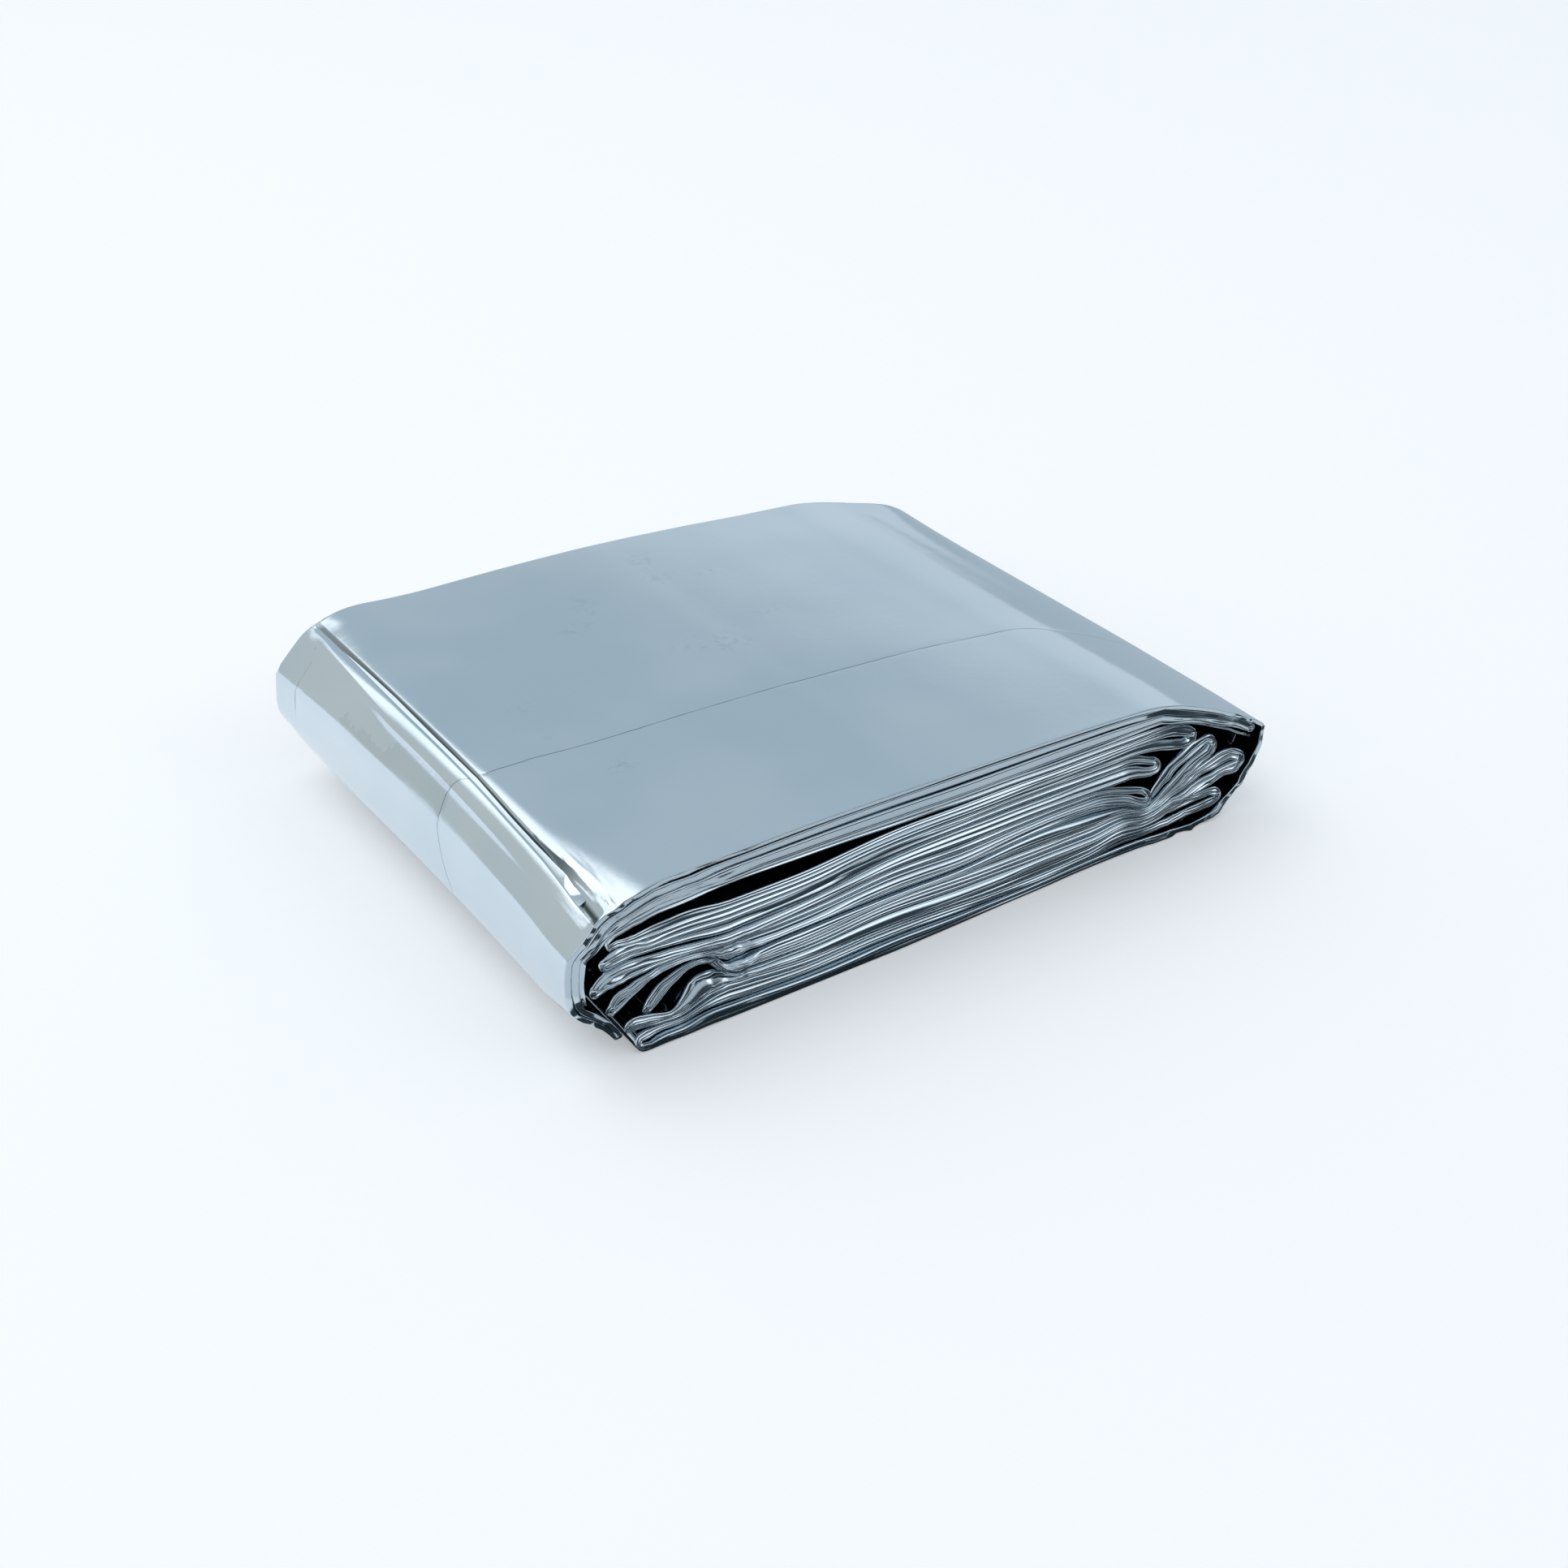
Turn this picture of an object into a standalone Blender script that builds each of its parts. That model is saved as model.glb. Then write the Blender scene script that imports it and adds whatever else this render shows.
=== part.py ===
# Emergency foil blanket, folded: one sheet of silver film that was halved into a
# long many-ply strip and then laid back and forth into a low packet.
# The solid is the packet's true section, one continuous band of layers, swept
# through its depth. Axes: +X along the long side, from the rounded end with two
# facets to the pointed end; -Y is the side where the layer edges show; +Z up.
# Lengths in the tables are millimetres.
import bpy
import math

MM = 0.001

# ---- driving sizes --------------------------------------------------------
HALF_DEPTH = 48.0      # the packet runs from y = -48 to y = +48
SHEET = 1.0            # thickness of one bundle of clinging plies
PITCH = 1.42           # closest spacing of two neighbouring layers' centres
FOLD_R = PITCH / 2     # centre radius of a hairpin fold
FOLD_STEPS = 5         # facets round a hairpin fold
FLOOR_Z = SHEET / 2    # centre height of the lowest layer, so its face is z = 0

# x of the three columns in which the layer spacing is given
X_LEFT, X_MID, X_RIGHT = -43.0, -5.0, 33.0

# Layers from the floor up. gap_* is the free height under the layer, beyond the
# sheet's own thickness, at the three columns; front_in and back_in say how far
# its two long edges stand back from the packet's front and back.
LAYERS = (
    # name  gap_left gap_mid gap_right front_in back_in
    ("B1",  0.00,    0.00,   0.00,     0.9,     0.6),
    ("B2",  0.40,    0.44,   0.42,     0.5,     1.4),
    ("S11", 0.42,    0.40,   0.48,     0.8,     0.3),
    ("S10", 0.40,    0.52,   0.42,     0.2,     1.0),
    ("S9",  0.48,    0.42,   0.60,     0.6,     0.5),
    ("S8",  0.40,    0.74,   0.46,     0.0,     1.7),
    ("S7",  0.50,    0.44,   0.42,     0.5,     0.8),
    ("S6",  0.44,    0.40,   0.66,     0.9,     0.2),
    ("S5",  0.42,    0.58,   0.44,     0.3,     1.2),
    ("S4",  0.54,    0.42,   0.50,     0.7,     0.6),
    ("S3",  0.42,    0.52,   0.42,     0.1,     1.5),
    ("S2",  0.46,    0.44,   0.56,     0.6,     0.4),
    ("S1",  0.42,    0.50,   0.42,     0.3,     1.1),
    ("T4",  1.62,    1.02,   0.46,     1.0,     0.3),
    ("T3",  0.86,    1.14,   0.96,     0.4,     0.9),
    ("T2",  0.92,    0.94,   0.72,     0.2,     0.5),
    ("T1",  0.50,    0.56,   0.48,     0.0,     0.0),
)

# Hairpin folds that join a layer to the one under it. x, z is the centre of the
# fold and points_deg the way its nose points, from +X towards +Z.
FOLDS = (
    # upper lower  side     x      z     points_deg
    ("T4",  "S1",  "left", -53.8, 18.8,  198.0),
    ("S1",  "S2",  "right", 43.4, 16.35, -18.0),
    ("S2",  "S3",  "left", -56.8, 15.2,  200.0),
    ("S3",  "S4",  "right", 40.2, 14.0,   -6.0),
    ("S4",  "S5",  "left", -57.0, 11.9,  204.0),
    ("S5",  "S6",  "right", 36.8, 11.5,   -4.0),
    ("S6",  "S7",  "left", -54.9,  9.0,  206.0),
    ("S7",  "S8",  "right", 50.6, 12.7,   38.0),
    ("S8",  "S9",  "left", -49.8,  7.2,  190.0),
    ("S9",  "S10", "right", 56.8,  9.0,   30.0),
    ("S10", "S11", "left", -53.2,  4.2,  186.0),
    ("S11", "B2",  "right", 53.4,  3.5,    8.0),
    ("B2",  "B1",  "left", -51.2,  1.2,  180.0),
)

# The outermost layer's face round the rounded end, from the top panel's crease
# down to the tucked fold underneath, and over the pointed end to the floor.
ROUND_END = (
    # name            x      z
    ("shoulder",     -49.6, 26.0),
    ("top crease",   -57.0, 23.4),
    ("middle crease", -62.3, 18.6),
    ("belly",        -62.9, 13.4),
    ("low crease",   -62.2,  9.6),
    ("tuck",         -58.6,  6.6),
)
POINTED_END = (
    # name            x      z
    ("dome end",      41.0, 24.8),
    ("slope",         51.4, 20.8),
    ("near tip",      59.4, 16.4),
    ("tip",           62.5, 14.4),
    ("under tip",     62.4,  9.6),
    ("low slope",     59.0,  4.6),
    ("heel",          54.6,  0.9),
)
TIP_FOLD = ("T2", "T3", 57.2, 14.65, -28.0)   # hairpin of T2 into T3 inside the tip
INNER_END = 0.72       # T4 stops this share of the way from the slope to the tip
INNER_GAP = 0.1        # and lies this much further in than its neighbours' spacing
TUCK_DEG = -40.0                               # the way the tucked fold points

# How the section changes through the depth: y as a share of the half depth.
# flare moves the rounded end outwards, drop lowers its top crease, dome lifts
# the top panel's middle, sway shifts the inner layers' ends along x, and sink
# presses the packet down before the pointed end.
SECTIONS = (
    # share  flare  drop   dome  sway   sink
    (-1.00,  0.00,  0.00,  0.00,  0.00,  0.0),
    (-0.90, -0.05, -0.10,  0.05,  0.10,  0.1),
    (-0.70, -0.70, -0.45,  0.15,  0.35,  0.3),
    (-0.40, -1.25, -0.60,  0.25,  0.45,  0.8),
    (-0.05, -1.40, -0.60,  0.30,  0.20,  1.4),
    (0.35,  -1.10, -0.65,  0.25, -0.20,  2.1),
    (0.72,  -0.60, -0.75,  0.10, -0.35,  2.7),
    (0.93,  -0.35, -0.80,  0.00, -0.15,  3.1),
    (1.00,  -0.30, -0.80, -0.10,  0.00,  3.2),
)


def lerp(a, b, t):
    return a + (b - a) * t


def layer_heights():
    """Centre height of each layer at the three columns."""
    out, z = {}, [FLOOR_Z] * 3
    for row, (name, *gaps, _f, _b) in enumerate(LAYERS):
        if row:
            z = [h + SHEET + g for h, g in zip(z, gaps)]
        out[name] = tuple(z)
    return out


HEIGHT = layer_heights()


def z_of(name, x):
    """Centre height of a layer between the columns: a parabola through them."""
    a, b, c = HEIGHT[name]
    t = (x - X_MID) / (X_RIGHT - X_MID)
    return b + (c - a) / 2 * t + ((a + c) / 2 - b) * t * t


def slope_of(name, x):
    return z_of(name, x + 0.5) - z_of(name, x - 0.5)


def hermite(p, m, q, n, count):
    """Points strictly between p and q on a smooth arc with end directions m, n."""
    d = math.dist(p, q)
    out = []
    for i in range(1, count + 1):
        t = i / (count + 1)
        h = (2 * t**3 - 3 * t**2 + 1, t**3 - 2 * t**2 + t, -2 * t**3 + 3 * t**2, t**3 - t**2)
        out.append(tuple(h[0] * p[k] + h[1] * m[k] * d + h[2] * q[k] + h[3] * n[k] * d for k in (0, 1)))
    return out


def unit(v):
    s = math.hypot(*v)
    return (v[0] / s, v[1] / s)


def fold_points(x, z, deg):
    """A half circle from the upper layer round the nose to the lower one."""
    a = math.radians(deg)
    turn = -1 if math.cos(a) > 0 else 1
    start = a - turn * math.pi / 2
    return [
        (x + FOLD_R * math.cos(start + turn * math.pi * i / FOLD_STEPS),
         z + FOLD_R * math.sin(start + turn * math.pi * i / FOLD_STEPS))
        for i in range(FOLD_STEPS + 1)
    ]


def offset(points, distance):
    """The polyline moved to its right-hand side by distance, mitred."""
    out = []
    for i, p in enumerate(points):
        a = points[max(i - 1, 0)]
        b = points[min(i + 1, len(points) - 1)]
        d1 = unit((p[0] - a[0], p[1] - a[1])) if i else None
        d2 = unit((b[0] - p[0], b[1] - p[1])) if i < len(points) - 1 else None
        d1, d2 = d1 or d2, d2 or d1
        n1, n2 = (d1[1], -d1[0]), (d2[1], -d2[0])
        n = unit((n1[0] + n2[0], n1[1] + n2[1]))
        k = distance / max(n[0] * n1[0] + n[1] * n1[1], 0.5)
        out.append((p[0] + n[0] * k, p[1] + n[1] * k))
    return out


def stack_layer(name, start, start_dir, end, end_dir, rightward):
    """Centre line of a layer between the points where its two folds begin."""
    columns = [X_LEFT, -24.0, X_MID, 14.0, X_RIGHT]
    if not rightward:
        columns.reverse()
    way = 1 if rightward else -1
    near, far = columns[0], columns[-1]
    mid = [(x, z_of(name, x)) for x in columns]
    d0 = unit((way, way * slope_of(name, near)))
    d1 = unit((way, way * slope_of(name, far)))
    n0 = max(1, round(math.dist(start, mid[0]) / 6))
    n1 = max(1, round(math.dist(mid[-1], end) / 6))
    return hermite(start, start_dir, mid[0], d0, n0) + mid + hermite(mid[-1], d1, end, end_dir, n1)


def centre_line():
    """The whole band's centre line at the front, from its inner free end."""
    fold = {(u, l): (x, z, deg) for u, l, _side, x, z, deg in FOLDS}
    line, owner = [], []

    def add(points, name):
        line.extend(points)
        owner.extend([name] * len(points))

    # T4 from its free end near the tip to its fold at the rounded end
    pair = [(u, l) for u, l, *_ in FOLDS]
    lane = offset([(x, z) for _n, x, z in POINTED_END[:3]], SHEET / 2 + 3 * PITCH + INNER_GAP)
    free = tuple(lerp(lane[1][k], lane[2][k], INNER_END) for k in (0, 1))
    add([free, lane[1]], "T4")
    start = lane[0]
    start_dir = unit((-1.0, 0.22))
    add([start], "T4")
    for u, l in pair:
        x, z, deg = fold[(u, l)]
        a = math.radians(deg)
        nose = fold_points(x, z, deg)
        u_dir = (math.cos(a), math.sin(a))
        rightward = math.cos(a) > 0
        add(stack_layer(u, start, start_dir, nose[0], u_dir, rightward), u)
        add(nose, u + l)
        start, start_dir = nose[-1], (-u_dir[0], -u_dir[1])
    # B1 along the floor, round the pointed end and back over the top
    face = [(x, z) for _n, x, z in POINTED_END]
    under = [(-40.0, FLOOR_Z), (-15.0, FLOOR_Z), (15.0, FLOOR_Z), (38.0, FLOOR_Z), (51.0, FLOOR_Z)]
    add(under, "B1")
    right_face = offset(list(reversed(face)), -SHEET / 2)
    tops = [(x, z_of("T1", x)) for x in (33.0, 14.0, -5.0, -24.0, -43.0)]
    left_face = offset([(x, z) for _n, x, z in ROUND_END], -SHEET / 2)
    add(right_face, "T1")
    add(tops, "T1")
    add(left_face, "T1")
    # the tucked fold under the rounded end, then L2 and T2 back to the tip
    a = math.radians(TUCK_DEG)
    inner = offset([(x, z) for _n, x, z in ROUND_END], -SHEET / 2 - PITCH)
    end = left_face[-1]
    u_dir = (math.cos(a), math.sin(a))
    n = (-u_dir[1], u_dir[0])
    c = (end[0] + n[0] * FOLD_R + u_dir[0] * 0.6, end[1] + n[1] * FOLD_R + u_dir[1] * 0.6)
    tuck = []
    for i in range(FOLD_STEPS + 1):
        b = a - math.pi / 2 + math.pi * i / FOLD_STEPS
        tuck.append((c[0] + FOLD_R * math.cos(b), c[1] + FOLD_R * math.sin(b)))
    add(tuck, "T1T2")
    add(list(reversed(inner[:-1])), "T2")
    add([(x, z_of("T2", x)) for x in (-43.0, -24.0, -5.0, 14.0, 33.0)], "T2")
    slope = offset(face[:3], SHEET / 2 + PITCH)
    slope3 = offset(face[:3], SHEET / 2 + 2 * PITCH)
    nose = fold_points(*TIP_FOLD[2:])
    add(slope[:2], "T2")
    add(nose, "T2T3")
    add(list(reversed(slope3[:2])), "T3")
    add([(x, z_of("T3", x)) for x in (33.0, 14.0, -5.0, -24.0, -43.0)], "T3")
    inner3 = offset([(x, z) for _n, x, z in ROUND_END], -SHEET / 2 - 2 * PITCH)
    add(inner3[:-1], "T3")
    return line, owner


# ---- build ------------------------------------------------------------------
def ramp(x, start, end):
    """A smooth step from 0 at start to 1 at end."""
    t = max(0.0, min(1.0, (x - start) / (end - start)))
    return t * t * (3 - 2 * t)


def section_shift(x, z, row):
    """Where a point of the front section lies at a given depth."""
    _share, flare, drop, dome, sway, sink = row
    left = ramp(-x, 36.0, 56.0)
    right = ramp(x, -8.0, 40.0) * (1 - ramp(x, 50.0, 62.0))
    height = max(0.0, min(1.0, z / 22.0))
    inner = max(0.0, 1 - abs(z - 11.0) / 11.0)
    middle = max(0.0, 1 - (x / 52.0) ** 2)
    dx = -flare * left * height
    dx += sway * inner * (1 - left) * min(1.0, abs(x) / 40.0)
    dz = -drop * left * max(0.0, (z - 14.0) / 10.0) + dome * middle * height ** 3
    if z > FLOOR_Z:
        dz -= sink * right * (z - FLOOR_Z) / 24.5
    return x + dx, z + dz


def layer_of(owner):
    """A fold takes the edges of the layer that it starts from."""
    for row in LAYERS:
        if owner == row[0]:
            return row
    return next(row for row in sorted(LAYERS, key=lambda r: -len(r[0])) if owner.startswith(row[0]))


def eased(values, reach=2):
    """A running mean, so that an edge runs smoothly from one layer to the next."""
    n = len(values)
    return [
        sum(values[max(0, min(n - 1, i + k))] for k in range(-reach, reach + 1)) / (2 * reach + 1)
        for i in range(n)
    ]


def film_surface():
    """The open middle surface of the folded film: its section swept in depth."""
    line, owner = centre_line()
    front = eased([layer_of(o)[4] for o in owner])
    back = eased([layer_of(o)[5] for o in owner])
    verts, faces = [], []
    for row in SECTIONS:
        share = row[0]
        for i, (x, z) in enumerate(line):
            sx, sz = section_shift(x, z, row)
            inset = front[i] if share < 0 else -back[i]
            y = share * HALF_DEPTH + inset * abs(share) ** 6
            verts.append((sx * MM, y * MM, sz * MM))
    n = len(line)
    for j in range(len(SECTIONS) - 1):
        for i in range(n - 1):
            a = j * n + i
            faces.append((a, a + 1, a + n + 1, a + n))
    mesh = bpy.data.meshes.new("foil_blanket")
    mesh.from_pydata(verts, [], faces)
    mesh.update()
    return mesh


def silver_film():
    mat = bpy.data.materials.new("silver_film")
    mat.use_nodes = True
    shader = mat.node_tree.nodes["Principled BSDF"]
    shader.inputs["Base Color"].default_value = (0.62, 0.68, 0.72, 1.0)
    shader.inputs["Metallic"].default_value = 1.0
    shader.inputs["Roughness"].default_value = 0.2
    return mat


def main():
    for old in list(bpy.data.objects):
        bpy.data.objects.remove(old, do_unlink=True)
    group = bpy.data.collections.new("emergency_foil_blanket")
    bpy.context.scene.collection.children.link(group)
    film = bpy.data.objects.new("foil_blanket", film_surface())
    group.objects.link(film)
    film.data.materials.append(silver_film())
    body = film.modifiers.new("Thickness", "SOLIDIFY")
    body.thickness = SHEET * MM
    body.offset = 0.0
    body.use_even_offset = True
    body.use_rim = True


main()
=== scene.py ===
import math

import bpy
import numpy as np
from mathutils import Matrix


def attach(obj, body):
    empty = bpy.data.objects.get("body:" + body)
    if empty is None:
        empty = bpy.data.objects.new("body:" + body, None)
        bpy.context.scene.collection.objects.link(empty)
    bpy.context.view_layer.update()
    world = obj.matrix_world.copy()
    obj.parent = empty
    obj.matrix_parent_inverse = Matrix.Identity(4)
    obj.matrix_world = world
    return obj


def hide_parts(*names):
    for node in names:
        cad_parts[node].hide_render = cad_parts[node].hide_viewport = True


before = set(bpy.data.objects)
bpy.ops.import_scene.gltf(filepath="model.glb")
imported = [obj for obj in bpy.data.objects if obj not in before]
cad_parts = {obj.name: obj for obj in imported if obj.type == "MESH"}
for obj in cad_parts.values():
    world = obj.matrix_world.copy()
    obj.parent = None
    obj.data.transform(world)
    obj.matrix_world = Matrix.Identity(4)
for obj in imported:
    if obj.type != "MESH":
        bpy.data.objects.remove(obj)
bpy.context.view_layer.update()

MM = 0.001
HALF = 48.0            # half the packet's depth
AIR = 0.10             # half the space between two neighbouring bundles
FOLD_STEPS = 8

# ---- camera -----------------------------------------------------------------
CAMERA_AZ, CAMERA_EL = -33.958, 31.071
CAMERA_POS = (-0.166658, -0.252759, 0.183178)
LENS_MM = 50.0

# ---- the bundles at the front ---------------------------------------------------
# z of each bundle's upper edge at the columns. The row under a bundle is its lower
# edge; "air" is the open space under T4. lean tips the face of its high, middle and
# low ply (mm per mm, + faces the sky), the two ins set its edges back, and the
# grooves run along it between plies: place across the edge (-1..1) and depth.
COLUMNS = (-37.2, -24.2, -10.5, 3.7, 18.7, 34.4)
BANDS = (
    # name    z at the columns                  lean high,mid,low  front, back in  groove_a  groove_b
    ("T1",  26.3, 26.5, 26.4, 26.1, 25.9, 25.3, -0.10,-0.10,-0.11,  0.22, 0.0,  -0.30, 0.00,  0.40, 0.00),
    ("T2",  25.4, 25.6, 25.5, 25.4, 25.1, 24.6, -0.09,-0.11,-0.10,  0.10, 0.5,  -0.35, 0.00,  0.55, 0.00),
    ("T3",  24.1, 24.2, 24.1, 23.9, 23.8, 23.5, -0.11,-0.09,-0.10,  0.02, 0.9,  -0.45, 0.01,  0.30, 0.05),
    ("T4",  21.7, 21.7, 21.4, 21.2, 21.2, 21.2,  0.55, 0.80, 0.40,  0.50, 0.3,  -0.30, 0.00,  0.40, 0.00),
    ("air", 21.2, 21.1, 20.8, 20.4, 20.4, 20.3,  0.00, 0.00, 0.00,  0.00, 0.0,   0.00, 0.00,  0.00, 0.00),
    ("S1",  18.8, 18.8, 20.0, 20.2, 20.2, 20.1,  0.36, 0.82, 0.46,  0.20, 1.1,  -0.20, 0.10,  0.45, 0.00),
    ("S2",  17.4, 17.4, 18.7, 18.8, 18.9, 19.1,  0.80, 0.46, 0.34,  0.10, 0.4,  -0.40, 0.02,  0.35, 0.10),
    ("S3",  15.6, 16.2, 17.5, 17.4, 17.7, 17.7,  0.86, 0.52, 0.40,  0.75, 1.5,  -0.15, 0.14,  0.50, 0.04),
    ("S4",  13.5, 13.9, 15.5, 16.0, 16.0, 15.8,  0.34, 0.80, 0.44,  0.10, 0.6,  -0.50, 0.04,  0.25, 0.16),
    ("S5",  12.3, 12.8, 14.0, 14.0, 14.1, 13.8,  0.74, 0.36, 0.46,  0.70, 1.2,  -0.30, 0.10,  0.40, 0.02),
    ("S6",  11.3, 11.3, 12.4, 12.0, 12.8, 12.5,  0.44, 0.80, 0.34,  0.10, 0.2,  -0.20, 0.05,  0.50, 0.10),
    ("S7",   9.9,  9.8, 10.8, 10.4, 11.7, 11.0,  0.70, 0.40, 0.36,  0.90, 0.8,  -0.40, 0.12,  0.30, 0.00),
    ("S8",   8.6,  8.8,  9.1,  8.9,  9.9,  9.0,  0.66, 0.44, 0.34,  0.15, 1.7,  -0.10, 0.06,  0.55, 0.08),
    ("S9",   7.6,  7.3,  8.3,  8.0,  7.8,  7.4,  0.38, 0.44, 0.42,  0.75, 0.5,  -0.45, 0.14,  0.20, 0.10),
    ("S10",  6.5,  5.8,  6.7,  6.2,  5.9,  6.0,  0.36, 0.62, 0.36,  0.20, 1.0,  -0.25, 0.12,  0.45, 0.06),
    ("S11",  5.4,  4.2,  4.1,  3.9,  4.2,  4.6,  0.42, 0.36, 0.37,  0.85, 0.3,  -0.35, 0.08,  0.30, 0.08),
    ("B2",   3.8,  2.8,  3.2,  2.6,  2.3,  3.0,  0.36, 0.40, 0.37,  0.55, 1.4,  -0.30, 0.10,  0.40, 0.04),
    ("B1",   1.9,  1.5,  1.7,  1.3,  1.1,  1.4,  0.42, 0.37, 0.39,  0.60, 0.6,  -0.20, 0.06,  0.50, 0.00),
)
ROW = {row[0]: k for k, row in enumerate(BANDS)}

# Hairpins between the bundles of the stack: centre, the way the nose points, the
# centre line's radius and the half thickness of the bundle there.
FOLDS = (
    # upper lower  x      z      points_deg radius half
    ("T4",  "S1",  -55.7, 18.70, 192.0,     0.46,  0.36),
    ("S1",  "S2",   46.1, 17.25, -12.0,     1.00,  0.88),
    ("S2",  "S3",  -56.4, 15.80, 204.0,     0.66,  0.56),
    ("S3",  "S4",   39.9, 14.25,  -4.0,     0.66,  0.56),
    ("S4",  "S5",  -58.1, 12.30, 208.0,     0.68,  0.58),
    ("S5",  "S6",   38.5,  9.12, -28.0,     0.68,  0.58),
    ("S6",  "S7",  -55.5,  8.20, 216.0,     0.70,  0.60),
    ("S7",  "S8",   51.3, 14.10,  35.0,     0.90,  0.80),
    ("S8",  "S9",  -50.0,  6.30, 223.0,     0.66,  0.56),
    ("S9",  "S10",  57.3,  9.45, -12.0,     1.00,  0.92),
    ("S10", "S11", -53.0,  3.95, 190.0,     0.62,  0.52),
    ("S11", "B2",   54.0,  3.90,   5.0,     0.78,  0.66),
    ("B2",  "B1",  -51.6,  1.20, 180.0,     0.62,  0.54),
)
# where a bundle leaves the columns on its way to a hairpin
LEAVE_LEFT, LEAVE_RIGHT = -37.2, 34.4
LEAVES_EARLY = ("S5", "S6", "S7", "S8", "S9", "S10", "S11", "B2")
EARLY_RIGHT = 28.0
# places on the way to the hairpins, where the bundles squeeze together and fan out
WAY = (
    # name   x      z      half
    ("T4",  -44.0, 21.15, 0.20),
    ("T4",  -49.7, 20.75, 0.22),
    ("T4",  -53.4, 19.85, 0.28),
    ("S1",  -50.0, 18.35, 0.66),
    ("S1",  -44.0, 18.65, 0.80),
    ("S2",  -50.0, 16.95, 0.60),
    ("S2",  -44.0, 16.95, 0.74),
    ("S2",   40.0, 17.75, 0.80),
    ("S3",  -50.0, 15.65, 0.58),
    ("S3",  -44.0, 15.25, 0.82),
    ("S4",  -48.0, 14.05, 0.52),
    ("S4",  -42.0, 13.45, 0.42),
    ("S5",  -48.0, 12.90, 0.50),
    ("S5",  -42.0, 12.60, 0.38),
    ("S5",   34.5, 11.50, 0.56),
    ("S6",  -48.0, 11.85, 0.42),
    ("S6",  -42.0, 11.90, 0.28),
    ("S6",   34.5, 10.25, 0.52),
    ("S7",  -48.0, 11.05, 0.34),
    ("S7",  -42.0, 11.35, 0.24),
    ("S7",   34.5,  9.10, 0.48),
    ("S7",   39.0,  7.50, 0.24),
    ("S7",   41.0,  9.10, 0.70),
    ("S7",   44.3, 12.20, 0.85),
    ("S7",   48.0, 14.05, 0.80),
    ("S8",  -45.6, 10.05, 0.40),
    ("S8",  -42.0, 10.80, 0.26),
    ("S8",   34.5,  8.05, 0.46),
    ("S8",   39.0,  6.90, 0.28),
    ("S8",   41.9,  7.95, 0.45),
    ("S8",   45.0, 10.00, 0.75),
    ("S8",   48.5, 12.00, 0.78),
    ("S9",  -45.6,  9.15, 0.42),
    ("S9",  -42.0, 10.15, 0.30),
    ("S9",   34.5,  7.00, 0.46),
    ("S9",   39.0,  6.05, 0.45),
    ("S9",   44.0,  7.55, 0.60),
    ("S9",   49.5,  9.75, 0.85),
    ("S9",   53.8, 10.60, 0.95),
    ("S10", -49.5,  4.25, 0.52),
    ("S10", -46.4,  3.75, 0.46),
    ("S10", -43.8,  5.00, 1.05),
    ("S10", -41.3,  6.50, 1.50),
    ("S10", -39.0,  6.35, 0.95),
    ("S10",  34.5,  5.85, 0.55),
    ("S10",  39.0,  5.00, 0.48),
    ("S10",  44.5,  6.15, 0.55),
    ("S10",  50.0,  7.50, 0.78),
    ("S11", -49.0,  3.00, 0.46),
    ("S11", -45.0,  2.62, 0.38),
    ("S11", -41.0,  4.05, 0.60),
    ("S11",  34.5,  4.45, 0.65),
    ("S11",  39.0,  3.85, 0.55),
    ("S11",  45.0,  4.45, 0.55),
    ("S11",  50.0,  4.90, 0.65),
    ("B2",  -48.5,  1.95, 0.42),
    ("B2",  -45.0,  1.70, 0.36),
    ("B2",  -41.0,  2.65, 0.48),
    ("B2",   34.5,  2.75, 0.80),
    ("B2",   39.0,  2.40, 0.62),
    ("B2",   45.0,  2.65, 0.55),
    ("B2",   50.0,  2.95, 0.60),
    ("B1",  -48.5,  0.72, 0.62),
    ("B1",  -45.0,  0.62, 0.56),
    ("B1",  -41.0,  1.00, 0.90),
)

# The outer face round the rounded end and over the pointed end, and how deep the
# middles of the wrapping bundles lie under it, with their half thickness.
ROUND_END = (
    # name            x      z     t1_mid t1_half t2_mid t2_half t3_mid t3_half corner_mm
    ("shoulder",     -49.6, 26.0,  0.45,  0.42,   1.75,  0.66,   3.75,  1.05,   3.3),
    ("top crease",   -57.0, 23.4,  0.45,  0.41,   1.55,  0.60,   3.00,  0.70,   1.7),
    ("middle crease", -62.3, 18.6, 0.44,  0.40,   1.45,  0.52,   2.42,  0.36,   0.7),
    ("belly",        -62.9, 13.4,  0.44,  0.40,   1.45,  0.50,   2.38,  0.34,   2.0),
    ("low crease",   -62.2,  9.6,  0.44,  0.40,   1.42,  0.46,   2.28,  0.28,   1.4),
    ("tuck",         -57.9,  5.7,  0.44,  0.38,   1.36,  0.42,   2.10,  0.20,   1.0),
    ("tucked fold",  -55.9,  3.5,  0.34,  0.30,   1.00,  0.31,   1.60,  0.18,   1.0),
)
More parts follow.
